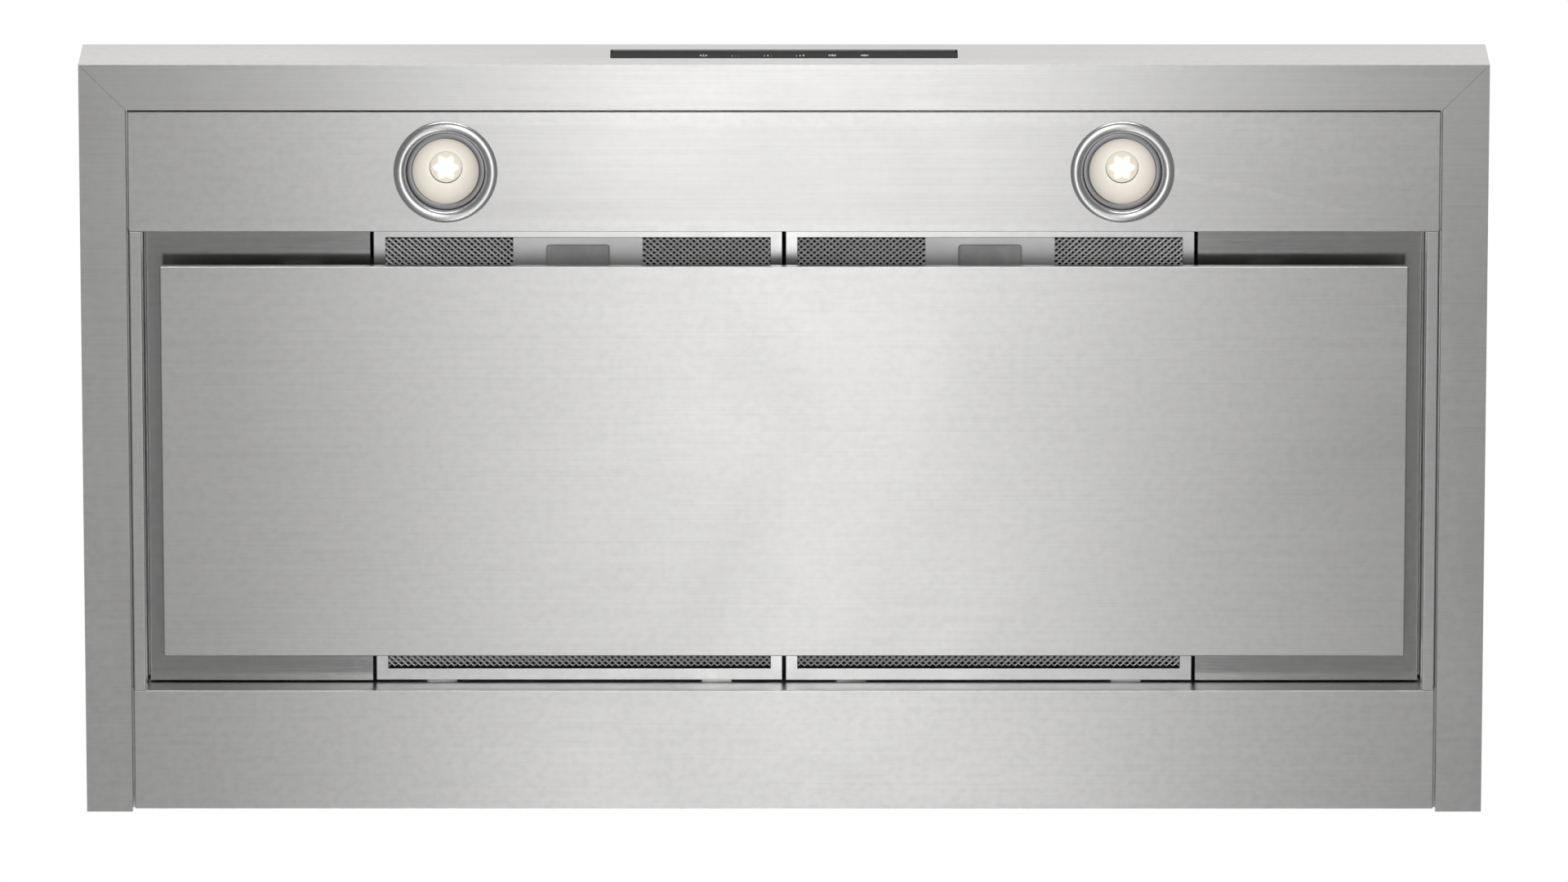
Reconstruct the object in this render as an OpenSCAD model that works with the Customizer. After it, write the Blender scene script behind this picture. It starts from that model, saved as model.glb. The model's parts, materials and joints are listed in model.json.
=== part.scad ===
// Under cabinet range hood with perimeter extraction.
// The origin is the centre of the cabinet screw pattern, on the flat top face.
// +Z is up, -Y is the front and +X is the right hand side seen from the front. Millimetres.

/* [Body] */
// Width over the two side panels
body_w = 913; // [760:1:1220]
// Depth from the wall to the front face
body_d = 500; // [415:1:620]
// Height from the lower frame to the flat top
body_h = 229; // [205:1:300]
// Height of the upright front lip
lip_h = 64; // [52:1:90]
// Depth of the flat top that meets the cabinet
top_d = 310; // [290:1:330]
// Thickness of the outer sheet
shell_t = 1; // [0.8:0.1:1.5]
// Width of the lower frame at the front and sides
flange_w = 30; // [24:1:40]
// Height of the upturned lip inside the lower frame
frame_lip_h = 9; // [7:0.5:12]
// Shadow line between the lower frame and the liner
liner_gap = 1.5; // [1:0.1:3]

/* [Liner] */
// Thickness of the liner sheet
liner_t = 1; // [0.8:0.1:1.5]
// Step from the lower frame up to the face of the liner
liner_rise = 1.5; // [0.5:0.1:3]
// Depth of the front strip that holds the lamps
light_d = 79.5; // [75:0.5:100]
// Depth of the rear strip
rear_d = 80; // [60:1:110]
// Width of the narrow strips beside the recess
rail_w = 8.2; // [6:0.1:20]
// Depth of the recess up to the filters
recess_h = 23; // [21:0.5:32]
// Height of the recess walls
wall_h = 41; // [38:1:60]

/* [Perimeter panel] */
// Gap in front of and behind the panel
slot_y = 23.2; // [16:0.1:36]
// Gap beside the panel
slot_x = 11.5; // [8:0.1:30]
// Height of the folded panel edge
panel_edge_h = 5.5; // [4:0.1:8]
// Distance of the hinges and catches from the filter bay
hinge_offset = 45.5; // [30:0.5:55]

/* [Filters] */
// Width of one grease filter
filter_w = 266; // [220:1:290]
// Thickness of a filter
filter_t = 10; // [9:0.5:14]
// Width of the filter's rim
filter_rim = 8; // [6:0.5:12]
// Gap beside each filter
filter_gap = 2.1; // [1:0.1:4]
// Gap in front of and behind the filters and side plates
bay_gap = 1.2; // [0.8:0.1:2]
// Width of the handle plate
handle_w = 84; // [70:1:110]
// Width of the finger opening
finger_w = 42; // [30:1:54]

/* [Lamps] */
// Distance between the two lamps
lamp_spacing = 438.6; // [300:1:560]
// Outer radius of the trim ring
trim_r = 33.7; // [30:0.1:36]
// Height that the trim ring stands proud
trim_h = 2.4; // [1.5:0.1:4]
// Radius of the lamp's barrel
barrel_r = 28.5; // [26:0.1:29]
// Height of the lamp's barrel
barrel_h = 34; // [28:1:45]

/* [Controls] */
// Width of the control window
window_w = 225.5; // [180:0.5:300]
// Height of the control window
window_h = 27.5; // [20:0.5:36]
// Height of the window's lower edge above the frame
window_z = 20.3; // [12:0.1:24]

/* [Blower] */
// Radius of the blower wheel
wheel_r = 60; // [50:1:62]
// Width of the blower wheel
wheel_w = 100; // [80:1:140]
// Number of blades
blade_n = 32; // [20:1:48]
// Gap between the motor can and the blades
motor_gap = 9; // [4:1:14]

/* [Duct] */
// Outer radius of the duct collar
collar_r = 88.5; // [84:0.1:102]
// Height of the collar above the flat top
collar_h = 45; // [30:1:70]
// Radius of the hole for the conduit fitting
conduit_r = 11.1; // [10:0.1:14.5]
// Spacing of the cabinet screws, left to right
screw_dx = 640; // [500:1:680]
// Spacing of the cabinet screws, front to back
screw_dy = 200; // [140:1:205]
// Radius of the cabinet and wall screw holes
screw_hole_r = 3; // [2.5:0.1:4]
// Distance of the wall screws below the flat top
wall_screw_drop = 40; // [25:1:70]

/* [Hidden] */
$fn = 64;

// Levels and planes of the outer shell
half_w = body_w / 2;
y_back = top_d / 2;
y_front = y_back - body_d;
z_frame = -body_h;
y_slope = -y_back;
hem_w = 20;
seam = 0.2;
tab_w = 12;
brace_w = 34;
brace_h = 9;
brace_t = 1.5;

// Liner and recess
z_liner = z_frame + liner_rise;
z_lip = z_frame + frame_lip_h;
z_plate = z_liner + recess_h;
z_wall = z_liner + wall_h;
x_liner = half_w - flange_w - liner_gap;
x_recess = x_liner - rail_w;
y_light_0 = y_front + flange_w + liner_gap;
y_light_1 = y_light_0 + light_d;
y_rear_1 = y_back - liner_gap;
y_rear_0 = y_rear_1 - rear_d;
ledge_w = 18;
wall_flange_w = 10;

// Filters, measured from the filter's own front edge and lower face
filter_d = y_rear_0 - y_light_1 - 2 * bay_gap;
filter_x = (filter_gap + filter_w) / 2;
mesh_inset = 1;
mesh_t = 1;
finger_d = 38;
finger_y = filter_rim + 4.5;
handle_t = 2;
handle_d = 60;
slider_y = filter_rim + 1;
slider_w = finger_w + 8;
slider_d = 36;
slider_h = 5.5;
pocket_wall = 5;
pocket_roof = 1.5;
tongue_w = 24;
tongue_bite = 3;
tongue_rise = 5.1;
tongue_z = 2;
tongue_top = 9;
latch_clear = 0.3;
spring_r = 2.2;
spring_wire_r = 0.4;
tab_reach = 3.5;
tab_x = 90;
tab_len = 20;
tab_t = 1.5;
tab_z = 3;
slot_over = 3.5;

// Side plates and perimeter panel
x_bay = filter_gap / 2 + filter_w + filter_gap;
x_plate = x_recess - 1.5;
hinge_x = x_bay + hinge_offset;
panel_t = 1;
x_panel = x_recess - slot_x;
y_panel_0 = y_light_1 + slot_y;
y_panel_1 = y_rear_0 - slot_y;
z_panel_floor = z_liner + panel_t;
hinge_y = y_panel_1 - 6;
hinge_z = z_liner + 12.5;
pin_r = 2;
pin_clear = 0.06;
ear_w = 5;
ear_r = 4;
bracket_t = 1.5;
cheek_gap = 0.5;
cheek_reach = 6;
foot_t = 1.5;
catch_y = y_panel_0 + 14;
catch_clear = 0.3;
hook_w = 2.7;

// Lamps
lamp_y = y_front + 71.2;
trim_hole_r = 26.3;
cut_clear = 0.5;
reflector_r = 21.5;
reflector_top_r = 11;
reflector_h = 12;
reflector_t = 0.8;
lens_r = 10.5;

// Controls
glass_t = 3;
glass_over = 3.5;
carrier_over = 4;
carrier_d = 9;
board_t = 1.6;

// Blower, sized by the height between the recess walls and the top
volute_w = wheel_w + 12;
volute_t = 1;
volute_min_r = wheel_r + 7;
volute_clear = 4;
cutoff_deg = 68;
turn_deg = 360 - cutoff_deg;
z_mouth = -shell_t - 1.6;
volute_space = -shell_t - 1.6 - z_wall - 2 * volute_clear;
volute_z = z_wall + volute_clear + min(100, (volute_space - volute_min_r - 2) / (1 + 0.32));
volute_growth = min(34, 1.45 * (volute_z - z_wall - volute_clear - volute_min_r));
volute_max_r = volute_min_r + volute_growth;
mouth_0 = volute_min_r * cos(cutoff_deg);
volute_y = -(mouth_0 + volute_max_r) / 2;
inlet_r = wheel_r - 9;
blade_d = 11;
motor_r = wheel_r - blade_d - motor_gap;
shaft_r = 4;
arm_r = inlet_r + 9;
capacitor_r = 15;
capacitor_h = 44;

// Duct collar and dampers
collar_t = 0.8;
collar_bore_r = collar_r - collar_t;
collar_clear = 2.5;
collar_base_t = 1.6;
collar_base_w = 2 * collar_r + 24;
rod_r = 1.5;
rod_y = 4.5;
rod_z = 14;
rod_clear = 0.08;
knuckle_r = 3;
flap_t = 0.8;
flap_gap = 1.4;
seat_t = 1.5;
seat_w = 4;
seat_y = 12;
seat_clear = 0.3;

// Electrical pieces
box_w = 90;
box_x = (brace_w + box_w - screw_dx) / 2 + 6;
box_y = y_back - 75;
box_d = 74;
box_h = 48;
module_w = 120;
module_d = 40;
module_h = 84;
module_x = 210;
module_y = y_back - shell_t - module_d / 2;
module_z = -96;
wire_r = 2;
wire_sides = 8;
rivet_r = 2;
rivet_clear = 0.1;

// Helpers for folded sheet
function unit(v) = v / norm(v);
function left_of(v) = [-v[1], v[0]];
function corner(p, i) =
    i == 0 ? left_of(unit(p[1] - p[0])) :
    i == len(p) - 1 ? left_of(unit(p[i] - p[i - 1])) :
    let (a = left_of(unit(p[i] - p[i - 1])), b = left_of(unit(p[i + 1] - p[i]))) (a + b) / (1 + a * b);
function folded(p, t) = concat(p, [for (i = [len(p) - 1:-1:0]) p[i] + t * corner(p, i)]);

// A sheet of thickness t whose outer face follows the points p, on the left of the path
module fold(p, t) polygon(folded(p, t));

// Draws a Y-Z outline and extends it from x0 to x1
module along_x(x0, x1) translate([x0, 0, 0]) rotate([90, 0, 90]) linear_extrude(x1 - x0) children();

// Draws an X-Z outline and extends it from y0 to y1
module along_y(y0, y1) translate([0, y1, 0]) rotate([90, 0, 0]) linear_extrude(y1 - y0) children();

// A box between two corners
module block(a, b) translate(a) cube(b - a);

// A round bar along X
module bar_x(r, x0, x1) translate([x0, 0, 0]) rotate([0, 90, 0]) cylinder(h = x1 - x0, r = r);

// A flat plate with rounded corners, from z = 0 up
module rounded_plate(w, d, h, r) linear_extrude(h) union() {
    square([w - 2 * r, d], center = true);
    square([w, d - 2 * r], center = true);
    for (sx = [-1, 1], sy = [-1, 1]) translate([sx * (w / 2 - r), sy * (d / 2 - r)]) circle(r);
}

// Mirrors a right hand piece to the left
module on_side(side) if (side < 0) mirror([1, 0, 0]) children(); else children();

// ---- Outer shell ----

// Removes what lies past the 45 degree seam at the two front corners of the lower frame
module frame_mitre(keep_front) {
    reach = flange_w + 5;
    for (s = [-1, 1]) on_side(s) translate([half_w, y_front, z_frame - 1]) linear_extrude(frame_lip_h + 1)
        polygon(keep_front
            ? [[0, shell_t], [0, reach], [-reach, reach], [-reach, reach - seam], [-shell_t - seam, shell_t]]
            : [[5, -5], [-2 * reach, -5], [-reach, reach], [0, 0]]);
}

module control_window(grow, y0, y1)
    translate([0, y1, z_frame + window_z + window_h / 2])
        rotate([90, 0, 0]) rounded_plate(window_w + 2 * grow, window_h + 2 * grow, y1 - y0, 2 + grow);

module canopy_front() color("gainsboro") difference() {
    along_x(-half_w, half_w) fold([
        [y_slope + hem_w, 0], [y_slope, 0], [y_front, z_frame + lip_h], [y_front, z_frame],
        [y_front + flange_w, z_frame], [y_front + flange_w, z_lip]], shell_t);
    frame_mitre(true);
    for (s = [-1, 1]) block(
        [s > 0 ? x_liner + liner_gap : -half_w, y_front + flange_w - shell_t - 0.1, z_frame + shell_t],
        [s > 0 ? half_w : -x_liner - liner_gap, y_front + flange_w + 1, z_lip + 1]);
    control_window(0, y_front - 1, y_front + shell_t + 1);
}

// Outline of a side panel, inside the front sheet and below the top sheet
module side_outline(inset) {
    slope = atan2(body_h - lip_h, y_slope - y_front);
    polygon([
        [y_front + inset, z_frame], [y_front + inset, z_frame + lip_h - inset * tan(45 - slope / 2)],
        [y_slope + inset * tan(slope / 2), -inset], [y_back, -inset], [y_back, z_frame]]);
}

module side_panel(side) color("gainsboro") on_side(side) difference() {
    union() {
        along_x(half_w - shell_t, half_w) side_outline(shell_t + 0.05);
        block([half_w - flange_w, y_front + shell_t, z_frame], [half_w, y_back, z_frame + shell_t]);
        block([half_w - flange_w, y_front + flange_w, z_frame], [half_w - flange_w + shell_t, y_back, z_lip]);
        block([half_w - tab_w, y_slope + hem_w + 1, -2 * shell_t], [half_w, y_back - 2 * shell_t, -shell_t]);
        block([half_w - tab_w, y_back - 2 * shell_t, z_lip + 4], [half_w, y_back - shell_t, -shell_t]);
    }
    frame_mitre(false);
    block([half_w - tab_w - 1, y_back - shell_t, z_lip + 4], [half_w - shell_t, y_back + 1, 0]);
    for (y = top_screw_y) translate([half_w - tab_w / 2, y, -3 * shell_t])
        cylinder(h = 4 * shell_t, r = rivet_r + rivet_clear);
}

top_screw_y = [y_slope + hem_w + 14, 0, y_back - 18];

module top_panel() color("silver") difference() {
    union() {
        block([-half_w, y_slope + hem_w + seam, -shell_t], [half_w, y_back, 0]);
        block([-half_w + tab_w + 2, y_slope + 4, -2 * shell_t],
              [half_w - tab_w - 2, y_slope + hem_w + 8, -shell_t]);
    }
    translate([0, 0, -3 * shell_t]) cylinder(h = 6 * shell_t, r = collar_r + collar_clear, $fn = 96);
    for (sx = [-1, 1], sy = [-1, 1]) translate([sx * screw_dx / 2, sy * screw_dy / 2, -3 * shell_t])
        cylinder(h = 6 * shell_t, r = screw_hole_r);
    for (s = [-1, 1], y = top_screw_y) translate([s * (half_w - tab_w / 2), y, -3 * shell_t])
        cylinder(h = 6 * shell_t, r = rivet_r + rivet_clear);
    translate([box_x, box_y, -3 * shell_t]) cylinder(h = 6 * shell_t, r = conduit_r);
}

module back_panel() color("silver") difference() {
    block([-half_w + shell_t, y_back - shell_t, z_lip + 2], [half_w - shell_t, y_back, -shell_t]);
    for (s = [-1, 1]) translate([s * screw_dx / 2, y_back + 1, -wall_screw_drop]) rotate([90, 0, 0])
        cylinder(h = shell_t + 2, r = screw_hole_r);
}

module cabinet_braces() color("darkgray") for (s = [-1, 1]) translate([s * screw_dx / 2, 0, 0]) difference() {
    y0 = y_slope + hem_w + 10;
    y1 = y_back - tab_w - 4;
    along_x(-brace_w / 2, brace_w / 2) fold([
        [y0, -shell_t - brace_h], [y0, -shell_t], [y1, -shell_t], [y1, -shell_t - brace_h]], -brace_t);
    for (sy = [-1, 1]) translate([0, sy * screw_dy / 2, -shell_t - 2 * brace_t])
        cylinder(h = 3 * brace_t, r = screw_hole_r + 0.5);
}

// ---- Liner ----

// Upstand and ledge at one end of a liner strip, resting on the side frame's lip
module liner_end(side, y0, y1) on_side(side) {
    block([x_liner - liner_t, y0, z_liner], [x_liner, y1, z_lip + liner_t]);
    block([x_liner - liner_t, y0, z_lip], [x_liner + ledge_w, y1, z_lip + liner_t]);
}

// Openings in a recess wall, at the height of the filters
module wall_slot(x, w, y, z0, z1) block([x - w / 2, y - 3, z0], [x + w / 2, y + 3, z1]);

module light_panel() color("gainsboro") difference() {
    union() {
        along_x(-x_liner, x_liner) fold([
            [y_light_1 - wall_flange_w, z_wall], [y_light_1, z_wall], [y_light_1, z_liner],
            [y_light_0, z_liner], [y_light_0, z_lip], [y_light_0 - ledge_w, z_lip]], -liner_t);
        for (s = [-1, 1]) liner_end(s, y_light_0, y_light_1);
    }
    for (s = [-1, 1]) translate([s * lamp_spacing / 2, lamp_y, z_liner - 1])
        cylinder(h = liner_t + 2, r = barrel_r + cut_clear);
    for (s = [-1, 1]) wall_slot(s * filter_x, tongue_w + 4, y_light_1,
        z_plate + tongue_z - latch_clear, z_plate + filter_t + 2);
}

module rear_liner() color("gainsboro") difference() {
    union() {
        along_x(-x_liner, x_liner) fold([
            [y_rear_1, z_lip - 1], [y_rear_1, z_liner], [y_rear_0, z_liner], [y_rear_0, z_wall],
            [y_rear_0 + wall_flange_w, z_wall]], -liner_t);
        for (s = [-1, 1]) liner_end(s, y_rear_0, y_rear_1);
    }
    for (s = [-1, 1], t = [-1, 1]) wall_slot(s * filter_x + t * tab_x, tab_len + 2, y_rear_0,
        z_plate + tab_z - 0.1, z_plate + tab_z + tab_t + slot_over);
}

module liner_rail(side) color("gainsboro") on_side(side)
    along_y(y_light_1 + 0.1, y_rear_0 - 0.1) fold([
        [x_liner + ledge_w, z_lip], [x_liner, z_lip], [x_liner, z_liner],
        [x_recess, z_liner], [x_recess, z_wall], [x_recess + wall_flange_w, z_wall]], -liner_t);

module filler_plate(side) color("silver") on_side(side) difference() {
    along_y(y_light_1 + bay_gap, y_rear_0 - bay_gap) fold([
        [x_bay, z_plate + 12], [x_bay, z_plate], [x_plate, z_plate],
        [x_plate, z_plate + 12], [x_recess, z_plate + 12]], liner_t);
    block([hinge_x - hook_w / 2, y_panel_1 - 8, z_plate - 1],
          [hinge_x + hook_w / 2, y_panel_1 + 3.2, z_plate + liner_t + 1]);
}

// ---- Perimeter panel, its hinges and catches ----

module perimeter_panel() color("gainsboro") difference() {
    block([-x_panel, y_panel_0, z_liner], [x_panel, y_panel_1, z_liner + panel_edge_h]);
    block([-x_panel + panel_t, y_panel_0 + panel_t, z_panel_floor],
          [x_panel - panel_t, y_panel_1 - panel_t, z_liner + panel_edge_h + 1]);
}

module panel_stiffeners() color("darkgray") {
    reach = hinge_x - 24;
    for (f = [0.28, 0.72]) translate([0, y_panel_0 + f * (y_panel_1 - y_panel_0), 0])
        along_x(-reach, reach) fold([
            [-20, z_panel_floor], [-10, z_panel_floor], [-10, z_panel_floor + 3.5],
            [10, z_panel_floor + 3.5], [10, z_panel_floor], [20, z_panel_floor]], 0.8);
}

module panel_hinge_ears() color("darkgray") for (s = [-1, 1]) translate([s * hinge_x, 0, 0]) difference() {
    union() {
        block([-7, hinge_y - 22, z_panel_floor], [7, hinge_y + ear_r, z_panel_floor + foot_t]);
        block([-ear_w / 2, hinge_y - ear_r, z_panel_floor], [ear_w / 2, hinge_y + ear_r, hinge_z]);
        translate([0, hinge_y, hinge_z]) bar_x(ear_r, -ear_w / 2, ear_w / 2);
    }
    translate([0, hinge_y, hinge_z]) bar_x(pin_r + pin_clear, -ear_w, ear_w);
}

module hinge_brackets() color("darkgray") for (s = [-1, 1]) translate([s * hinge_x, 0, 0]) difference() {
    cheek = ear_w / 2 + cheek_gap;
    union() {
        block([-cheek - 8, hinge_y - cheek_reach, z_plate - bracket_t],
              [cheek + 8, hinge_y + cheek_reach, z_plate]);
        for (t = [-1, 1]) translate([t * (cheek + bracket_t / 2), 0, 0]) {
            block([-bracket_t / 2, hinge_y - ear_r, hinge_z], [bracket_t / 2, hinge_y + ear_r, z_plate]);
            translate([0, hinge_y, hinge_z]) bar_x(ear_r, -bracket_t / 2, bracket_t / 2);
        }
    }
    translate([0, hinge_y, hinge_z]) bar_x(pin_r, -20, 20);
}

module hinge_pins() color("silver") for (s = [-1, 1])
    translate([s * hinge_x, hinge_y, hinge_z]) {
        end = ear_w / 2 + cheek_gap + bracket_t;
        bar_x(pin_r, -end, end);
        for (t = [-1, 1]) translate([t * (end + 0.6), 0, 0]) bar_x(pin_r + 1, -0.6, 0.6);
    }

module catch_magnets() color("dimgray") for (s = [-1, 1]) translate([s * hinge_x, catch_y, 0])
    block([-10, -5, z_panel_floor + foot_t + catch_clear], [10, 5, z_plate]);

module catch_strikes() color("silver") for (s = [-1, 1]) translate([s * hinge_x, catch_y, 0])
    block([-12, -7, z_panel_floor], [12, 7, z_panel_floor + foot_t]);

// ---- Filters, each drawn from its own front edge and lower face ----

module at_filter(side) translate([side * filter_x, y_light_1 + bay_gap, z_plate]) children();

module filter_frame(side) color("lightgray") at_filter(side) difference() {
    union() {
        difference() {
            block([-filter_w / 2, 0, 0], [filter_w / 2, filter_d, filter_t]);
            block([-filter_w / 2 + filter_rim, filter_rim, -1],
                  [filter_w / 2 - filter_rim, filter_d - filter_rim, filter_t + 1]);
        }
        for (t = [-1, 1]) block([t * tab_x - tab_len / 2, filter_d - 1, tab_z],
            [t * tab_x + tab_len / 2, filter_d + bay_gap + liner_t + tab_reach, tab_z + tab_t]);
    }
    block([-tongue_w / 2 - 1, -1, tongue_z - latch_clear], [tongue_w / 2 + 1, filter_rim + 1, filter_t + 1]);
}

// Two layers of expanded sheet, held apart by the frame
module filter_mesh(side) color("gray") at_filter(side)
    for (z = [mesh_inset, filter_t - mesh_inset - mesh_t]) difference() {
        block([-filter_w / 2 + filter_rim, filter_rim, z],
              [filter_w / 2 - filter_rim, filter_d - filter_rim, z + mesh_t]);
        block([-handle_w / 2, filter_rim - 1, 0], [handle_w / 2, filter_rim + handle_d, filter_t]);
    }

module filter_handle(side) color("silver") at_filter(side) difference() {
    union() {
        block([-handle_w / 2, filter_rim, mesh_inset],
              [handle_w / 2, filter_rim + handle_d, mesh_inset + handle_t]);
        block([-slider_w / 2, filter_rim + handle_d - 2, mesh_inset],
              [slider_w / 2, filter_rim + handle_d, filter_t - mesh_inset]);
    }
    translate([0, finger_y + finger_d / 2, -1]) rounded_plate(finger_w, finger_d, handle_t + 3, 3);
    block([-tongue_w / 2 - 1, filter_rim - 1, tongue_z - latch_clear],
          [tongue_w / 2 + 1, finger_y + 0.1, filter_t]);
}

module filter_latch(side) color("darkgray") at_filter(side) {
    z0 = mesh_inset + handle_t;
    difference() {
        block([-slider_w / 2, slider_y, z0], [slider_w / 2, slider_y + slider_d, z0 + slider_h]);
        block([-slider_w / 2 + pocket_wall, slider_y + pocket_wall, z0 - 1],
              [slider_w / 2 - pocket_wall, slider_y + slider_d - pocket_wall, z0 + slider_h - pocket_roof]);
    }
    tip = -bay_gap - tongue_bite;
    translate([-tongue_w / 2, 0, 0]) along_x(0, tongue_w) polygon([
        [slider_y, z0], [slider_y, tongue_top - 0.5], [slider_y, tongue_top], [tip, tongue_top],
        [tip, tongue_z + tongue_rise], [-bay_gap, tongue_z], [filter_rim - 0.5, tongue_z],
        [filter_rim - 0.5, z0]]);
}

module filter_spring(side) color("silver") at_filter(side) {
    start = slider_y + slider_d;
    end = filter_rim + handle_d - 2;
    turns = 6;
    pitch = (end - start - 2 * spring_wire_r) / turns;
    for (t = [-1, 1], k = [0:turns])
        translate([t * 14, start + spring_wire_r + k * pitch, mesh_inset + handle_t + slider_h / 2])
            rotate([90, 0, 0]) rotate_extrude($fn = 24) translate([spring_r - spring_wire_r, 0])
                circle(spring_wire_r, $fn = 16);
}

// ---- Lamps, each drawn round its own axis from the face of the light panel ----

module at_lamp(side) translate([side * lamp_spacing / 2, lamp_y, z_liner]) children();

// Points of a half round bead between two radii
function bead(r0, r1, h, n) = [for (i = [0:n])
    let (a = 180 * i / n) [(r0 + r1) / 2 - cos(a) * (r1 - r0) / 2, -h * sin(a)]];

module lamp_trim(side) color("silver") at_lamp(side)
    rotate_extrude($fn = 96) polygon(bead(trim_hole_r, trim_r, trim_h, 12));

module lamp_barrel(side) color("gray") at_lamp(side) rotate_extrude($fn = 72) polygon([
    [trim_hole_r - 0.6, 0], [barrel_r, 0], [barrel_r, barrel_h], [lens_r, barrel_h],
    [lens_r, barrel_h - 6], [trim_hole_r - 0.6, barrel_h - 6]]);

module lamp_reflector(side) color("white") at_lamp(side) rotate_extrude($fn = 72) polygon([
    [reflector_r, 2], [trim_hole_r - 0.6, 2], [trim_hole_r - 0.6, 2 + reflector_t],
    [reflector_r + reflector_t, 2 + reflector_t],
    [reflector_top_r + reflector_t, 2 + reflector_h], [reflector_top_r, 2 + reflector_h]]);

module lamp_lens(side) color("ivory") at_lamp(side) translate([0, 0, 2 + reflector_h]) {
    cylinder(h = barrel_h - reflector_h - 10, r = lens_r - 0.2);
    translate([0, 0, -1.5]) cylinder(h = 1.5, r = lens_r - 1.5);
}

module lamp_clips(side) color("silver") at_lamp(side) for (a = [30, 150, 270]) rotate([0, 0, a])
    translate([barrel_r, 0, 0]) along_y(-4, 4) fold([
        [0, 26], [0, 18], [5, 10], [4, liner_t + 0.2]], 0.5);

// ---- Controls ----

module touch_glass() color("black")
    control_window(glass_over, y_front + shell_t, y_front + shell_t + glass_t);

module touch_carrier() color("dimgray") difference() {
    y0 = y_front + shell_t;
    control_window(glass_over + carrier_over, y0, y0 + carrier_d);
    control_window(glass_over, y0 - 1, y0 + glass_t);
    control_window(-1, y0, y0 + carrier_d + 1);
}

module touch_board() color("darkgreen") {
    y0 = y_front + shell_t + carrier_d;
    translate([0, y0 + board_t, z_frame + window_z + window_h / 2]) rotate([90, 0, 0])
        rounded_plate(window_w - 30, window_h + 4, board_t, 1);
    for (x = [-80:32:80]) translate([x, y0 + board_t, z_frame + window_z + window_h / 2])
        block([-5, 0, -4], [5, 2.5, 4]);
}

// ---- Blower, drawn round the wheel's axis along X ----

module at_wheel() translate([0, volute_y, volute_z]) children();

// Radius of the scroll at an angle counted from the rear, anticlockwise seen from the right
function scroll_r(a) = volute_min_r + volute_growth * (a - cutoff_deg) / turn_deg;
function scroll_points(step) = [for (a = [cutoff_deg:step:360]) scroll_r(a) * [cos(a), sin(a)]];
scroll_step = turn_deg / 32;
mouth_top = z_mouth - volute_z;
scroll_path = concat([[mouth_0, mouth_top]], scroll_points(scroll_step), [[volute_max_r, mouth_top]]);

module volute_wrap() color("lightgray") at_wheel() along_x(-volute_w / 2, volute_w / 2)
    fold(scroll_path, -volute_t);

module volute_side(side) color("lightgray") at_wheel() {
    x0 = side > 0 ? volute_w / 2 : -volute_w / 2 - volute_t;
    difference() {
        along_x(x0, x0 + volute_t) polygon(concat(
            [[mouth_0 - volute_t, mouth_top]],
            [for (q = scroll_points(scroll_step)) q * (1 + volute_t / norm(q))],
            [[volute_max_r + volute_t, mouth_top]]));
        bar_x(inlet_r, x0 - 1, x0 + volute_t + 1);
        for (a = [30, 150, 270]) if (side > 0) rotate([a, 0, 0]) translate([0, arm_r, 0])
            bar_x(rivet_r + 1, x0 - 1, x0 + volute_t + 1);
    }
}

module blower_wheel() color("gainsboro") at_wheel() difference() {
    union() {
        bar_x(wheel_r, -1, 1);
        bar_x(14, -8, 1);
        for (s = [-1, 1]) translate([s * (wheel_w / 2 - 1.5), 0, 0]) difference() {
            bar_x(wheel_r, -1.5, 1.5);
            bar_x(wheel_r - blade_d, -2, 2);
        }
        for (k = [0:blade_n - 1]) rotate([k * 360 / blade_n, 0, 0])
            translate([-wheel_w / 2 + 0.5, wheel_r - blade_d, 0]) rotate([24, 0, 0])
                cube([wheel_w - 1, blade_d - 0.6, 0.9]);
    }
    bar_x(shaft_r, -20, 20);
}

motor_x0 = 9;
motor_x1 = wheel_w / 2 + 22;

module motor_can() color("dimgray") at_wheel() difference() {
    union() {
        bar_x(motor_r, motor_x0 + 3, motor_x1 - 3);
        bar_x(motor_r - 6, motor_x0, motor_x1);
    }
    bar_x(shaft_r + 0.1, 0, motor_x1 - 8);
}

module motor_shaft() color("silver") at_wheel() bar_x(shaft_r, -14, motor_x1 - 9);

module motor_mount() color("darkgray") at_wheel() {
    x0 = volute_w / 2 + volute_t + 4;
    difference() {
        union() {
            bar_x(motor_r + 4, x0, x0 + 4);
            for (a = [30, 150, 270]) rotate([a, 0, 0]) {
                block([x0, motor_r, -6], [x0 + 2, arm_r, 6]);
                translate([0, arm_r, 0]) bar_x(6, x0, x0 + 2);
            }
        }
        bar_x(motor_r, x0 - 1, x0 + 5);
        for (a = [30, 150, 270]) rotate([a, 0, 0]) translate([0, arm_r, 0])
            bar_x(rivet_r + 1, x0 - 1, x0 + 3);
    }
}

module motor_isolators() color("black") at_wheel() {
    x0 = volute_w / 2;
    for (a = [30, 150, 270]) rotate([a, 0, 0]) translate([0, arm_r, 0]) {
        bar_x(rivet_r + 1, x0 - 1, x0 + volute_t + 7);
        bar_x(6, x0 + volute_t, x0 + volute_t + 4);
    }
}

module run_capacitor() color("lightgray")
    translate([-volute_w / 2 - volute_t, volute_y - inlet_r - capacitor_r, volute_z]) {
        translate([-capacitor_r - 3, 0, -capacitor_h / 2]) {
            cylinder(h = capacitor_h, r = capacitor_r);
            for (s = [-1, 1]) translate([4 * s, 0, capacitor_h]) cylinder(h = 5, r = 2.5);
        }
        block([-4, -10, -10], [0, 10, 10]);
    }

// ---- Duct collar and back draught dampers ----

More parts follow.
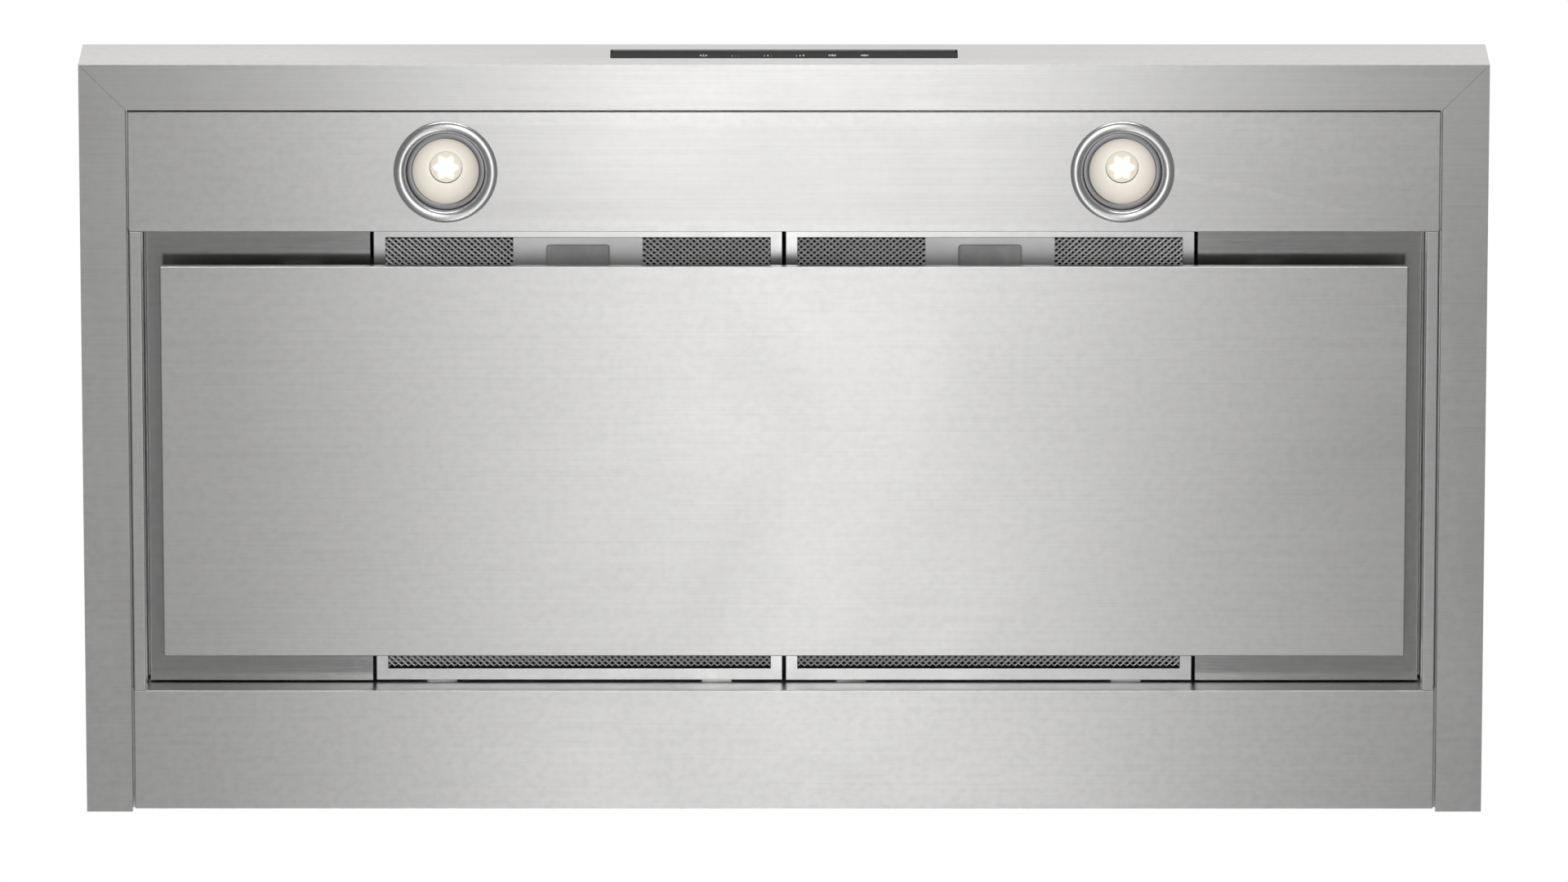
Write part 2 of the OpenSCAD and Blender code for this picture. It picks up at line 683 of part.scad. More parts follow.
module duct_collar() color("lightgray") difference() {
    union() {
        block([-collar_base_w / 2, -collar_base_w / 2, -shell_t - collar_base_t],
              [collar_base_w / 2, collar_base_w / 2, -shell_t]);
        difference() {
            translate([0, 0, -shell_t - 0.5]) cylinder(h = collar_h + shell_t + 0.5, r = collar_r, $fn = 96);
            translate([0, 0, -shell_t]) cylinder(h = collar_h + 5, r = collar_bore_r, $fn = 96);
        }
        for (s = [-1, 1]) intersection() {
            translate([0, 0, rod_z - seat_clear - seat_t]) difference() {
                cylinder(h = seat_t, r = collar_bore_r + 0.2, $fn = 96);
                translate([0, 0, -1]) cylinder(h = seat_t + 2, r = collar_bore_r - seat_w, $fn = 96);
            }
            block([-collar_r, s > 0 ? seat_y : -collar_r, 0],
                  [collar_r, s > 0 ? collar_r : -seat_y, collar_h]);
        }
    }
    block([-volute_w / 2, volute_y + mouth_0, -10], [volute_w / 2, volute_y + volute_max_r, 10]);
    for (s = [-1, 1]) translate([0, s * rod_y, rod_z]) bar_x(rod_r, -collar_r - 5, collar_r + 5);
}

module damper_rods() color("silver") for (s = [-1, 1]) translate([0, s * rod_y, rod_z])
    bar_x(rod_r, -sqrt(pow(collar_r, 2) - pow(rod_y + rod_r, 2)) + 0.1,
        sqrt(pow(collar_r, 2) - pow(rod_y + rod_r, 2)) - 0.1);

module damper_flap(side) color("lightgray") difference() {
    flap_x = collar_bore_r - 9;
    union() {
        intersection() {
            translate([0, 0, rod_z]) cylinder(h = flap_t, r = collar_bore_r - flap_gap, $fn = 96);
            block([-collar_r, side > 0 ? rod_y + 1 : -collar_r, 0],
                  [collar_r, side > 0 ? collar_r : -rod_y - 1, collar_h]);
        }
        translate([0, side * rod_y, rod_z]) bar_x(knuckle_r, -flap_x, flap_x);
    }
    translate([0, side * rod_y, rod_z]) bar_x(rod_r + rod_clear, -collar_r, collar_r);
}

// ---- Electrical pieces ----

module at_box() translate([box_x, box_y, -shell_t]) children();

module junction_box() color("lightgray") at_box() difference() {
    block([-box_w / 2, -box_d / 2, -box_h], [box_w / 2, box_d / 2, 0]);
    block([-box_w / 2 + 1, -box_d / 2 + 1, -box_h - 1], [box_w / 2 - 1, box_d / 2 - 1, -1]);
    translate([0, 0, -5]) cylinder(h = 10, r = conduit_r);
    translate([box_w / 2, 0, -box_h / 2]) bar_x(5, -5, 5);
}

module junction_box_cover() color("silver") at_box() translate([0, 0, -box_h - 1]) difference() {
    block([-box_w / 2, -box_d / 2, 0], [box_w / 2, box_d / 2, 1]);
    for (s = [-1, 1]) translate([s * (box_w / 2 - 9), 0, -1]) cylinder(h = 3, r = 2.2);
}

module control_module() color("dimgray") translate([module_x, module_y, module_z]) {
    difference() {
        block([-module_w / 2, -module_d / 2, -module_h / 2], [module_w / 2, module_d / 2, module_h / 2]);
        for (x = [-40:16:40]) block([x - 3, -module_d / 2 - 1, -module_h / 2 + 8],
            [x + 3, -module_d / 2 + 2, module_h / 2 - 30]);
    }
    for (x = [-44, -20, 20, 44]) block([x - 7, -module_d / 2 - 5, module_h / 2 - 20],
        [x + 7, -module_d / 2, module_h / 2 - 8]);
}

// Direction of one leg of a route, and the normal of the plane that halves the bend at its end
function leg(p, i) = unit(p[i + 1] - p[i]);
function bend_normal(p, i) = i == len(p) - 1 ? leg(p, i - 1) : leg(p, i - 1) + leg(p, i);

// Carries a ring of points along the legs, from one bend's plane to the next
function carried(p, i, ring) = i == len(p) ? [] :
    let (d = leg(p, i - 1), n = bend_normal(p, i), next = [for (q = ring) q + d * ((p[i] - q) * n) / (d * n)])
    concat([next], carried(p, i + 1, next));

// A cable through the points p
module cable(p) {
    d = leg(p, 0);
    u = unit(cross(d, abs(d[2]) < 0.9 ? [0, 0, 1] : [1, 0, 0]));
    v = cross(d, u);
    first = [for (k = [0:wire_sides - 1])
        let (a = k * 360 / wire_sides) p[0] + wire_r * (cos(a) * u + sin(a) * v)];
    rings = concat([first], carried(p, 1, first));
    last = wire_sides * (len(rings) - 1);
    polyhedron(
        points = [for (ring = rings) each ring],
        faces = concat(
            [[for (k = [0:wire_sides - 1]) k]],
            [for (i = [0:len(rings) - 2], k = [0:wire_sides - 1])
                let (a = i * wire_sides + k, b = i * wire_sides + (k + 1) % wire_sides)
                [a, a + wire_sides, b + wire_sides, b]],
            [[for (k = [wire_sides - 1:-1:0]) last + k]]));
}

module wiring_harness() color("black") {
    plug_y = module_y - module_d / 2 - 5;
    plug_z = module_z + module_h / 2 - 14;
    run_y = y_light_1 + 24;
    run_z = z_wall + 14;
    board_y = y_front + shell_t + carrier_d + board_t + 2.5;
    board_z = z_frame + window_z + window_h / 2;
    lamp_top = z_liner + barrel_h;
    half = lamp_spacing / 2;
    cable([[module_x - 44, plug_y, plug_z], [module_x - 44, plug_y - 18, plug_z],
        [module_x - 44, run_y, run_z], [16, run_y - 60, board_z + 30], [16, board_y + 14, board_z],
        [16, board_y, board_z]]);
    cable([[module_x + 20, plug_y, plug_z], [module_x + 20, plug_y - 12, plug_z],
        [half + 15, run_y, run_z], [half + 15, lamp_y, lamp_top + 16], [half + 15, lamp_y, lamp_top]]);
    cable([[module_x + 44, plug_y, plug_z], [module_x + 44, plug_y - 12, plug_z],
        [module_x + 54, run_y + 12, run_z + 12], [-half + 15, run_y + 12, run_z + 12],
        [-half + 15, lamp_y, lamp_top + 16], [-half + 15, lamp_y, lamp_top]]);
    cable([[module_x - 20, plug_y, plug_z], [module_x - 20, plug_y - 12, plug_z],
        [module_x - 60, plug_y - 60, plug_z + 10], [motor_x1 + 30, volute_y + 20, volute_z + 10],
        [motor_x1, volute_y + 20, volute_z + 10]]);
    cable([[box_x + box_w / 2 - 4, box_y, -shell_t - box_h / 2],
        [-volute_w / 2 - 50, box_y, -shell_t - box_h / 2], [-volute_w / 2 - 50, y_back - 12, -80],
        [module_x - 90, y_back - 12, -80], [module_x - module_w / 2, y_back - 12, -80]]);
}

// Screws from below through the side panels' flanges into the flat top
module shell_screws() color("silver") for (s = [-1, 1], y = top_screw_y)
    translate([s * (half_w - tab_w / 2), y, -2 * shell_t]) {
        cylinder(h = 2 * shell_t - 0.1, r = rivet_r);
        translate([0, 0, -1.6]) cylinder(h = 1.6, r = 2 * rivet_r);
    }

canopy_front();
side_panel(-1);  // side_panel_left
side_panel(1);  // side_panel_right
top_panel();
back_panel();
cabinet_braces();
light_panel();
rear_liner();
liner_rail(-1);  // liner_rail_left
liner_rail(1);  // liner_rail_right
filler_plate(-1);  // filler_plate_left
filler_plate(1);  // filler_plate_right
perimeter_panel();
panel_stiffeners();
panel_hinge_ears();
hinge_brackets();
hinge_pins();
catch_magnets();
catch_strikes();
filter_frame(-1);  // filter_left_frame
filter_mesh(-1);  // filter_left_mesh
filter_handle(-1);  // filter_left_handle
filter_latch(-1);  // filter_left_latch
filter_spring(-1);  // filter_left_spring
filter_frame(1);  // filter_right_frame
filter_mesh(1);  // filter_right_mesh
filter_handle(1);  // filter_right_handle
filter_latch(1);  // filter_right_latch
filter_spring(1);  // filter_right_spring
lamp_trim(-1);  // lamp_left_trim
lamp_barrel(-1);  // lamp_left_barrel
lamp_reflector(-1);  // lamp_left_reflector
lamp_lens(-1);  // lamp_left_lens
lamp_clips(-1);  // lamp_left_clips
lamp_trim(1);  // lamp_right_trim
lamp_barrel(1);  // lamp_right_barrel
lamp_reflector(1);  // lamp_right_reflector
lamp_lens(1);  // lamp_right_lens
lamp_clips(1);  // lamp_right_clips
touch_glass();
touch_carrier();
touch_board();
volute_wrap();
volute_side(-1);  // volute_side_left
volute_side(1);  // volute_side_right
blower_wheel();
motor_can();
motor_shaft();
motor_mount();
motor_isolators();
run_capacitor();
duct_collar();
damper_flap(-1);  // damper_flap_front
damper_flap(1);  // damper_flap_rear
damper_rods();
junction_box();
junction_box_cover();
control_module();
wiring_harness();
shell_screws();
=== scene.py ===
"""Looks of an under cabinet range hood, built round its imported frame."""
import json
import logging
import math
from dataclasses import dataclass, field
from enum import Enum
from typing import ClassVar

import bmesh
import bpy
import numpy as np
from mathutils import Matrix, Vector

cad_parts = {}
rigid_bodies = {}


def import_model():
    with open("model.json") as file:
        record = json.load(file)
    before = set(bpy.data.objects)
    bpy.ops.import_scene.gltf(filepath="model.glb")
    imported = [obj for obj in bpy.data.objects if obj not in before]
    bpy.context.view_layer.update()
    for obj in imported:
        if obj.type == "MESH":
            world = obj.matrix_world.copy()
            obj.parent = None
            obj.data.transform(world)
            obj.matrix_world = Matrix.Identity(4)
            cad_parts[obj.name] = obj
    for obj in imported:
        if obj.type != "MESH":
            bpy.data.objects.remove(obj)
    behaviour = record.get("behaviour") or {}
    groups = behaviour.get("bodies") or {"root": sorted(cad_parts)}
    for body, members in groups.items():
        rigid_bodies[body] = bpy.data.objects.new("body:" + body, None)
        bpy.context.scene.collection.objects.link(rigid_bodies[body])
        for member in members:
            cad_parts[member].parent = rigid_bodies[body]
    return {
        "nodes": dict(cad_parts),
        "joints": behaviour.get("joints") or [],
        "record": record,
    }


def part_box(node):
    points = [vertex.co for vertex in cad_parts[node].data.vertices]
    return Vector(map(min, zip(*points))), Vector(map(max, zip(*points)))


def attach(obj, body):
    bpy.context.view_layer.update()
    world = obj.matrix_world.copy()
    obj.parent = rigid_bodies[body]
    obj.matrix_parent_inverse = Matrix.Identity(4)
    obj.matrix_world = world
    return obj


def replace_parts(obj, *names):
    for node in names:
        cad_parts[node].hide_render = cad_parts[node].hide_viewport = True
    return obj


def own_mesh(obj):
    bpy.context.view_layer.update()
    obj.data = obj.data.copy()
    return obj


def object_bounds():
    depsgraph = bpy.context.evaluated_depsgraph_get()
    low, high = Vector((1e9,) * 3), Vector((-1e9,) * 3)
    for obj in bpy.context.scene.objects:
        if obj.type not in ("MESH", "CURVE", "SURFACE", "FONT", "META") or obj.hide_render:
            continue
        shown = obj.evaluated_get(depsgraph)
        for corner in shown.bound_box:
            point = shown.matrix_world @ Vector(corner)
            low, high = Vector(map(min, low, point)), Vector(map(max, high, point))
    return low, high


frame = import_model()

LOG = logging.getLogger("hood")
MM = 0.001
CAD_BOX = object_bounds()
Node, Socket, Tree = bpy.types.Node, bpy.types.NodeSocket, bpy.types.NodeTree


class Side(Enum):
    """Left or right hand piece, as the sign of its X."""

    LEFT = -1
    RIGHT = 1

    @property
    def word(self) -> str:
        """The side's name as the nodes spell it."""
        return self.name.lower()


class Edge(Enum):
    """Largest rounding of a sheet piece's folds, in metres."""

    CRISP = 0.25 * MM
    EASED = 0.5 * MM
    FOLDED = 0.95 * MM


class KeyIcon(Enum):
    """Generic signs on the touch keys, in order from left to right."""

    POWER = 0
    FAN_LOW = 1
    FAN_MEDIUM = 2
    FAN_HIGH = 3
    TIMER = 4
    LIGHT = 5


# ---- Node bench: shader groups and trees ----


class Bench:
    """Places and joins nodes in one tree."""

    def __init__(self, tree: Tree) -> None:
        """Args:
            tree: The node tree that is worked on.
        """
        self.tree = tree

    def add(self, kind: str, inputs: dict | None = None, **settings: object) -> Node:
        """Adds a node, sets its properties, and sets or links its inputs.

        Args:
            kind: Blender's type name of the node.
            inputs: Socket name or number to a value, or to an output socket to link from.
            settings: Properties of the node.

        Returns:
            The new node.
        """
        node = self.tree.nodes.new(kind)
        for key, value in settings.items():
            setattr(node, key, value)
        for key, value in (inputs or {}).items():
            self.join(value, node.inputs[key])
        return node

    def join(self, value: object, socket: Socket) -> None:
        """Links an output socket to an input socket, or sets the input to a plain value.

        Args:
            value: The output socket or the value.
            socket: The input socket.
        """
        if isinstance(value, Socket):
            self.tree.links.new(value, socket)
        else:
            socket.default_value = value

    def maths(self, operation: str, a: object, b: object = 0.0) -> Socket:
        """One Math node's output, of the operation on a and b."""
        return self.add("ShaderNodeMath", {0: a, 1: b}, operation=operation).outputs[0]

    def vector_maths(self, operation: str, a: object, b: object) -> Socket:
        """One Vector Math node's output, of the operation on a and b."""
        return self.add("ShaderNodeVectorMath", {0: a, 1: b}, operation=operation).outputs[0]

    def noise(self, place: Socket, scale: object, detail: float, **more: float) -> Node:
        """A Noise Texture node at a place, with any further inputs given by name."""
        settings = {key.capitalize(): value for key, value in more.items()}
        return self.add("ShaderNodeTexNoise", {"Vector": place, "Scale": scale, "Detail": detail, **settings})

    def spread(self, value: object, low: float, high: float, to_low: object = 0.0,
               to_high: object = 1.0) -> Socket:
        """A value carried from one range to another, and held inside it.

        Args:
            value: The socket that is carried over.
            low: The value that becomes to_low.
            high: The value that becomes to_high.
            to_low: Result at low.
            to_high: Result at high.

        Returns:
            The output socket.
        """
        return self.add("ShaderNodeMapRange", {0: value, 1: low, 2: high, 3: to_low, 4: to_high}).outputs[0]

    def stretched(self, noise: object, to_low: object = 0.0, to_high: object = 1.0) -> Socket:
        """Noise, most of which lies between 0.3 and 0.7, carried to a range."""
        return self.spread(noise, 0.3, 0.7, to_low, to_high)

    def blend(self, share: object, a: object, b: object) -> Socket:
        """Colour a where share is 0 and b where it is 1."""
        return self.add("ShaderNodeMix", {0: share, 6: a, 7: b}, data_type="RGBA").outputs[2]


def new_group(name: str, inputs: dict[str, float], outputs: tuple[str, ...]) -> tuple:
    """Starts a shader group that takes a place, which is called Vector, and numbers, and gives numbers.

    Args:
        name: The group's name.
        inputs: Name of each number that it takes, to its default.
        outputs: Name of each number that it gives.

    Returns:
        A bench on its tree, its input node's sockets and its output node's sockets.
    """
    tree = bpy.data.node_groups.new(name, "ShaderNodeTree")
    tree.interface.new_socket("Vector", in_out="INPUT", socket_type="NodeSocketVector")
    for label, default in inputs.items():
        socket = tree.interface.new_socket(label, in_out="INPUT", socket_type="NodeSocketFloat")
        socket.default_value = default
    for label in outputs:
        tree.interface.new_socket(label, in_out="OUTPUT", socket_type="NodeSocketFloat")
    bench = Bench(tree)
    return bench, bench.add("NodeGroupInput").outputs, bench.add("NodeGroupOutput").inputs


class Effects:
    """Effects that several finishes share, each a shader group that is made once."""

    made: dict[str, Tree] = {}

    @classmethod
    def group(cls, name: str) -> Tree:
        """The group of that name, made when it is first asked for."""
        if name not in cls.made:
            cls.made[name] = getattr(cls, name)()
        return cls.made[name]

    @staticmethod
    def brushing() -> Tree:
        """Lines left by a brushing belt: noise stretched along the grain, which runs along X, and along Y on
        faces that look along X. Across and Along are how many streaks there are per metre."""
        bench, into, out = new_group("brushing", {"Across": 4000.0, "Along": 40.0}, ("Fine", "Broad"))
        normal = bench.add("ShaderNodeNewGeometry").outputs["Normal"]
        nx = bench.add("ShaderNodeSeparateXYZ", {0: normal}).outputs[0]
        side = bench.maths("GREATER_THAN", bench.maths("ABSOLUTE", nx), 0.7)
        for result, share in (("Fine", 1.0), ("Broad", 0.16)):
            across = bench.maths("MULTIPLY", into["Across"], share)
            along = bench.maths("MULTIPLY", into["Along"], share)
            flat = bench.add("ShaderNodeCombineXYZ", {0: along, 1: across, 2: across}).outputs[0]
            steep = bench.add("ShaderNodeCombineXYZ", {0: across, 1: along, 2: across}).outputs[0]
            mix = bench.add("ShaderNodeMix", {0: side, 4: flat, 5: steep}, data_type="VECTOR")
            place = bench.vector_maths("MULTIPLY", into["Vector"], mix.outputs[1])
            bench.join(bench.noise(place, 1.0, 2.0, roughness=0.6).outputs[0], out[result])
        return bench.tree

    @staticmethod
    def handling() -> Tree:
        """Soft patches where a piece has been wiped and handled, carried between two values."""
        bench, into, out = new_group("handling", {"Scale": 9.0, "Low": 0.3, "High": 0.4}, ("Value",))
        noise = bench.noise(into["Vector"], into["Scale"], 4.0, roughness=0.55, distortion=0.6).outputs[0]
        bench.join(bench.stretched(noise, into["Low"], into["High"]), out["Value"])
        return bench.tree

    @staticmethod
    def edge_wear() -> Tree:
        """Mask of edges for wear and a painted highlight: where the surface is pointed, broken up by noise.
        """
        bench, into, out = new_group("edge_wear", {"Amount": 0.5}, ("Mask",))
        point = bench.add("ShaderNodeNewGeometry").outputs["Pointiness"]
        noise = bench.noise(into["Vector"], 180.0, 3.0).outputs[0]
        # pointed edges: painted highlight and wear
        edge = bench.spread(point, 0.505, 0.56)
        broken = bench.maths("MULTIPLY", edge, bench.spread(noise, 0.35, 0.6, 0.35, 1.0))
        bench.join(bench.maths("MULTIPLY", broken, into["Amount"]), out["Mask"])
        return bench.tree

    @staticmethod
    def spangle() -> Tree:
        """Crystals of a hot dipped zinc coat: flat cells, each with its own tone and softer veins."""
        bench, into, out = new_group("spangle", {"Cells": 140.0}, ("Tone", "Vein"))
        warp = bench.noise(into["Vector"], 60.0, 3.0).outputs[1]
        bent = bench.vector_maths("MULTIPLY", warp, (0.006, 0.006, 0.006))
        place = bench.vector_maths("ADD", into["Vector"], bent)
        cells = bench.add("ShaderNodeTexVoronoi", {"Vector": place, "Scale": into["Cells"]})
        tone = bench.add("ShaderNodeSeparateColor", {0: cells.outputs["Color"]}).outputs[0]
        bench.join(tone, out["Tone"])
        bench.join(bench.spread(cells.outputs["Distance"], 0.0, 0.7), out["Vein"])
        return bench.tree

    @staticmethod
    def dust() -> Tree:
        """Mask of dust on faces that look up, thicker in patches."""
        bench, into, out = new_group("dust", {"Amount": 0.3}, ("Mask",))
        normal = bench.add("ShaderNodeNewGeometry").outputs["Normal"]
        nz = bench.add("ShaderNodeSeparateXYZ", {0: normal}).outputs[2]
        noise = bench.noise(into["Vector"], 14.0, 6.0).outputs[0]
        upward = bench.spread(nz, 0.6, 0.95)
        patch = bench.maths("MULTIPLY", upward, bench.stretched(noise, 0.25))
        bench.join(bench.maths("MULTIPLY", patch, into["Amount"]), out["Mask"])
        return bench.tree


# ---- Finishes ----

DUST = (0.42, 0.40, 0.37, 1.0)


def rgba(colour: tuple[float, float, float]) -> tuple[float, float, float, float]:
    """A colour with full alpha."""
    return (*colour, 1.0)


def toned(colour: tuple[float, float, float], share: float) -> tuple[float, float, float, float]:
    """A colour made darker or lighter by a share, held below 1, with full alpha."""
    return rgba(tuple(min(1.0, c * share) for c in colour))


def coat(bench: Bench, surface: Node, colour: Socket, rough: Socket) -> None:
    """Feeds a colour and a roughness to a surface."""
    bench.join(colour, surface.inputs["Base Color"])
    bench.join(rough, surface.inputs["Roughness"])


@dataclass(frozen=True)
class Finish:
    """What one finish is called, and its plain colour and roughness."""

    name: str
    colour: tuple[float, float, float]
    roughness: float = 0.4
    metallic: float = 1.0

    def material(self) -> bpy.types.Material:
        """The finish's material, made once."""
        found = bpy.data.materials.get("finish_" + self.name)
        return found or self.mixed()

    def mixed(self) -> bpy.types.Material:
        """Makes the material: a Principled surface whose colour, roughness and relief the finish draws."""
        material = bpy.data.materials.new("finish_" + self.name)
        material.use_nodes = True
        tree = material.node_tree
        bench = Bench(tree)
        surface = next(n for n in tree.nodes if n.type == "BSDF_PRINCIPLED")
        surface.inputs["Metallic"].default_value = self.metallic
        surface.inputs["Roughness"].default_value = self.roughness
        place = bench.add("ShaderNodeTexCoord").outputs["Object"]
        self.draw(bench, surface, place)
        material.diffuse_color = rgba(self.colour)
        return material

    def draw(self, bench: Bench, surface: Node, place: Socket) -> None:
        """Draws patches of handling in the roughness and a faint change of tone.

        Args:
            bench: Bench on the material's tree.
            surface: The Principled node.
            place: Object coordinates.
        """
        rough = self.patches(bench, place, 16.0, self.roughness * 0.85, min(1.0, self.roughness * 1.2))
        tone = self.patches(bench, place, 45.0)
        coat(bench, surface, bench.blend(tone, toned(self.colour, 0.92), toned(self.colour, 1.06)), rough)

    def effect(self, bench: Bench, name: str, **inputs: object) -> Node:
        """Places a shared effect's group with this finish's own values."""
        return bench.add("ShaderNodeGroup", inputs, node_tree=Effects.group(name))

    def patches(self, bench: Bench, place: Socket, scale: float, low: float = 0.0,
                high: float = 1.0) -> Socket:
        """Soft patches of handling at a scale, carried between two values."""
        return self.effect(bench, "handling", Vector=place, Scale=scale, Low=low, High=high).outputs[0]

    def worn(self, bench: Bench, place: Socket, colour: object, amount: float,
             edge: tuple[float, float, float, float]) -> Socket:
        """A colour that goes over to a lighter one on pointed edges: wear and a painted highlight."""
        # edge mask lightens the colour: painted highlight and wear
        highlight_and_wear = self.effect(bench, "edge_wear", Vector=place, Amount=amount).outputs[0]
        return bench.blend(highlight_and_wear, colour, edge)

    def relief(self, bench: Bench, surface: Node, height: object, depth: float, share: float = 1.0) -> None:
        """Feeds a height to the surface's normal, as a bump of that depth in metres."""
        bump = bench.add("ShaderNodeBump", {"Strength": share, "Distance": depth, "Height": height})
        bench.join(bump.outputs[0], surface.inputs["Normal"])


@dataclass(frozen=True)
class BrushedSteel(Finish):
    """Stainless steel with brushed lines along its length, wiped patches, and edges lighter from wear and a
    painted highlight.
    """

    across: float = 3600.0
    along: float = 26.0
    depth: float = 0.00002

    def draw(self, bench: Bench, surface: Node, place: Socket) -> None:
        """Draws the brushing in colour, roughness and relief."""
        lines = self.effect(bench, "brushing", Vector=place, Across=self.across, Along=self.along)
        fine, broad = lines.outputs["Fine"], lines.outputs["Broad"]
        tone = bench.maths("ADD", bench.maths("MULTIPLY", fine, 0.45), bench.maths("MULTIPLY", broad, 0.55))
        colour = bench.blend(bench.stretched(tone), toned(self.colour, 0.93), toned(self.colour, 1.06))
        # edges lighter: wear and a painted highlight
        colour = self.worn(bench, place, colour, 0.5, toned(self.colour, 1.18))
        wiped = self.patches(bench, place, 5.0, self.roughness * 0.95, self.roughness * 1.08)
        coat(bench, surface, colour, bench.maths("ADD", wiped, bench.stretched(fine, -0.03, 0.03)))
        self.relief(bench, surface, fine, self.depth)


@dataclass(frozen=True)
class ZincCoat(Finish):
    """Galvanised sheet: spangled, with dust on what faces up."""

    cells: float = 130.0
    dusty: float = 0.25

    def draw(self, bench: Bench, surface: Node, place: Socket) -> None:
        """Draws the crystals in colour and roughness, and the dust over them."""
        cells = self.effect(bench, "spangle", Vector=place, Cells=self.cells)
        tone, vein = cells.outputs["Tone"], cells.outputs["Vein"]
        share = bench.maths("ADD", bench.maths("MULTIPLY", tone, 0.75), bench.maths("MULTIPLY", vein, 0.25))
        colour = bench.blend(share, toned(self.colour, 0.84), toned(self.colour, 1.12))
        # edges lighter: wear and a painted highlight
        colour = self.worn(bench, place, colour, 0.6, toned(self.colour, 1.25))
        mask = self.effect(bench, "dust", Vector=place, Amount=self.dusty).outputs[0]
        colour = bench.blend(mask, colour, DUST)
        rough = bench.spread(tone, 0.0, 1.0, self.roughness - 0.08, self.roughness + 0.1)
        coat(bench, surface, colour, bench.maths("ADD", rough, bench.maths("MULTIPLY", mask, 0.4)))
        bench.join(bench.spread(mask, 0.0, 1.0, 1.0, 0.3), surface.inputs["Metallic"])
        self.relief(bench, surface, vein, 0.00003, 0.6)


@dataclass(frozen=True)
class SatinMetal(Finish):
    """Turned, rolled or anodised metal with a fine even tooth, and edges lighter from wear and a painted
    highlight.
    """

    tooth: float = 2500.0
    depth: float = 0.00001

    def draw(self, bench: Bench, surface: Node, place: Socket) -> None:
        """Draws the tooth in relief and the handling in roughness."""
        noise = bench.noise(place, self.tooth, 2.0).outputs[0]
        patch = self.patches(bench, place, 30.0)
        colour = bench.blend(patch, toned(self.colour, 0.94), toned(self.colour, 1.05))
        # edges lighter: wear and a painted highlight
        colour = self.worn(bench, place, colour, 0.5, toned(self.colour, 1.2))
        rough = bench.spread(patch, 0.0, 1.0, self.roughness * 0.88, self.roughness * 1.12)
        coat(bench, surface, colour, rough)
        self.relief(bench, surface, noise, self.depth)


@dataclass(frozen=True)
class MouldedPlastic(Finish):
    """Moulded plastic, rubber or paint with a fine pebble, and edges lighter from wear and a painted
    highlight.
    """

    metallic: float = 0.0
    pebble: float = 900.0
    depth: float = 0.00004
    coat: float = 0.0

    def draw(self, bench: Bench, surface: Node, place: Socket) -> None:
        """Draws the pebble in relief and scuffs in colour and roughness."""
        surface.inputs["Coat Weight"].default_value = self.coat
        cells = bench.add("ShaderNodeTexVoronoi", {"Vector": place, "Scale": self.pebble})
        scuff = self.patches(bench, place, 60.0)
        colour = bench.blend(scuff, toned(self.colour, 0.88), toned(self.colour, 1.12))
        # lighter edge colour for wear and a painted highlight
        lighter = rgba(tuple(min(1.0, c * 1.3 + 0.06) for c in self.colour))
        colour = self.worn(bench, place, colour, 0.4, lighter)
        mask = self.effect(bench, "dust", Vector=place, Amount=0.18).outputs[0]
        colour = bench.blend(mask, colour, DUST)
        rough = bench.spread(scuff, 0.0, 1.0, self.roughness * 0.88, min(1.0, self.roughness * 1.12))
        coat(bench, surface, colour, rough)
        self.relief(bench, surface, cells.outputs["Distance"], self.depth)


@dataclass(frozen=True)
class CircuitBoard(Finish):
    """Green solder mask with paler tracks under it."""

    metallic: float = 0.0

    def draw(self, bench: Bench, surface: Node, place: Socket) -> None:
        """Draws tracks as the joints of a brick pattern."""
        bands = bench.add("ShaderNodeTexBrick", {"Vector": place, "Scale": 90.0, "Mortar Size": 0.05,
                                                 "Color1": (0, 0, 0, 1), "Color2": (0.3, 0.3, 0.3, 1),
                                                 "Mortar": (1, 1, 1, 1)}).outputs[0]
        share = bench.add("ShaderNodeSeparateColor", {0: bands}).outputs[0]
        colour = bench.blend(share, toned(self.colour, 0.85), toned(self.colour, 1.9))
        bench.join(colour, surface.inputs["Base Color"])
        self.relief(bench, surface, share, 0.00003)


@dataclass(frozen=True)
class DarkGlass(Finish):
    """Dark glass with faint wiping marks."""

    metallic: float = 0.0
    shine: float = 0.004

    def draw(self, bench: Bench, surface: Node, place: Socket) -> None:
        """Draws the marks in roughness, and a faint change of tone."""
        surface.inputs["Specular IOR Level"].default_value = self.shine
        wiped = self.patches(bench, place, 26.0, self.roughness * 0.7, self.roughness * 1.5)
        tone = self.patches(bench, place, 40.0)
        coat(bench, surface, bench.blend(tone, toned(self.colour, 0.85), toned(self.colour, 1.15)), wiped)


@dataclass(frozen=True)
class Glowing(Finish):
    """A frosted or clear piece lit by the lamp behind it, brighter where the attribute glow is higher."""

    metallic: float = 0.0
    dim: tuple[float, float, float] = (0.5, 0.45, 0.4)
    strength: float = 0.6

    def draw(self, bench: Bench, surface: Node, place: Socket) -> None:
        """Draws the glow from the attribute, with a fine frosting in relief."""
        glow = bench.add("ShaderNodeAttribute", attribute_name="glow").outputs["Fac"]
        frost = bench.noise(place, 1500.0, 2.0).outputs[0]
        share = bench.maths("ADD", glow, bench.stretched(frost, -0.04, 0.04))
        colour = bench.blend(share, rgba(self.dim), rgba(self.colour))
        bench.join(colour, surface.inputs["Emission Color"])
        surface.inputs["Emission Strength"].default_value = self.strength
        base = bench.blend(share, toned(self.colour, 0.52), toned(self.colour, 0.85))
        bench.join(base, surface.inputs["Base Color"])
        self.relief(bench, surface, frost, 0.00002)


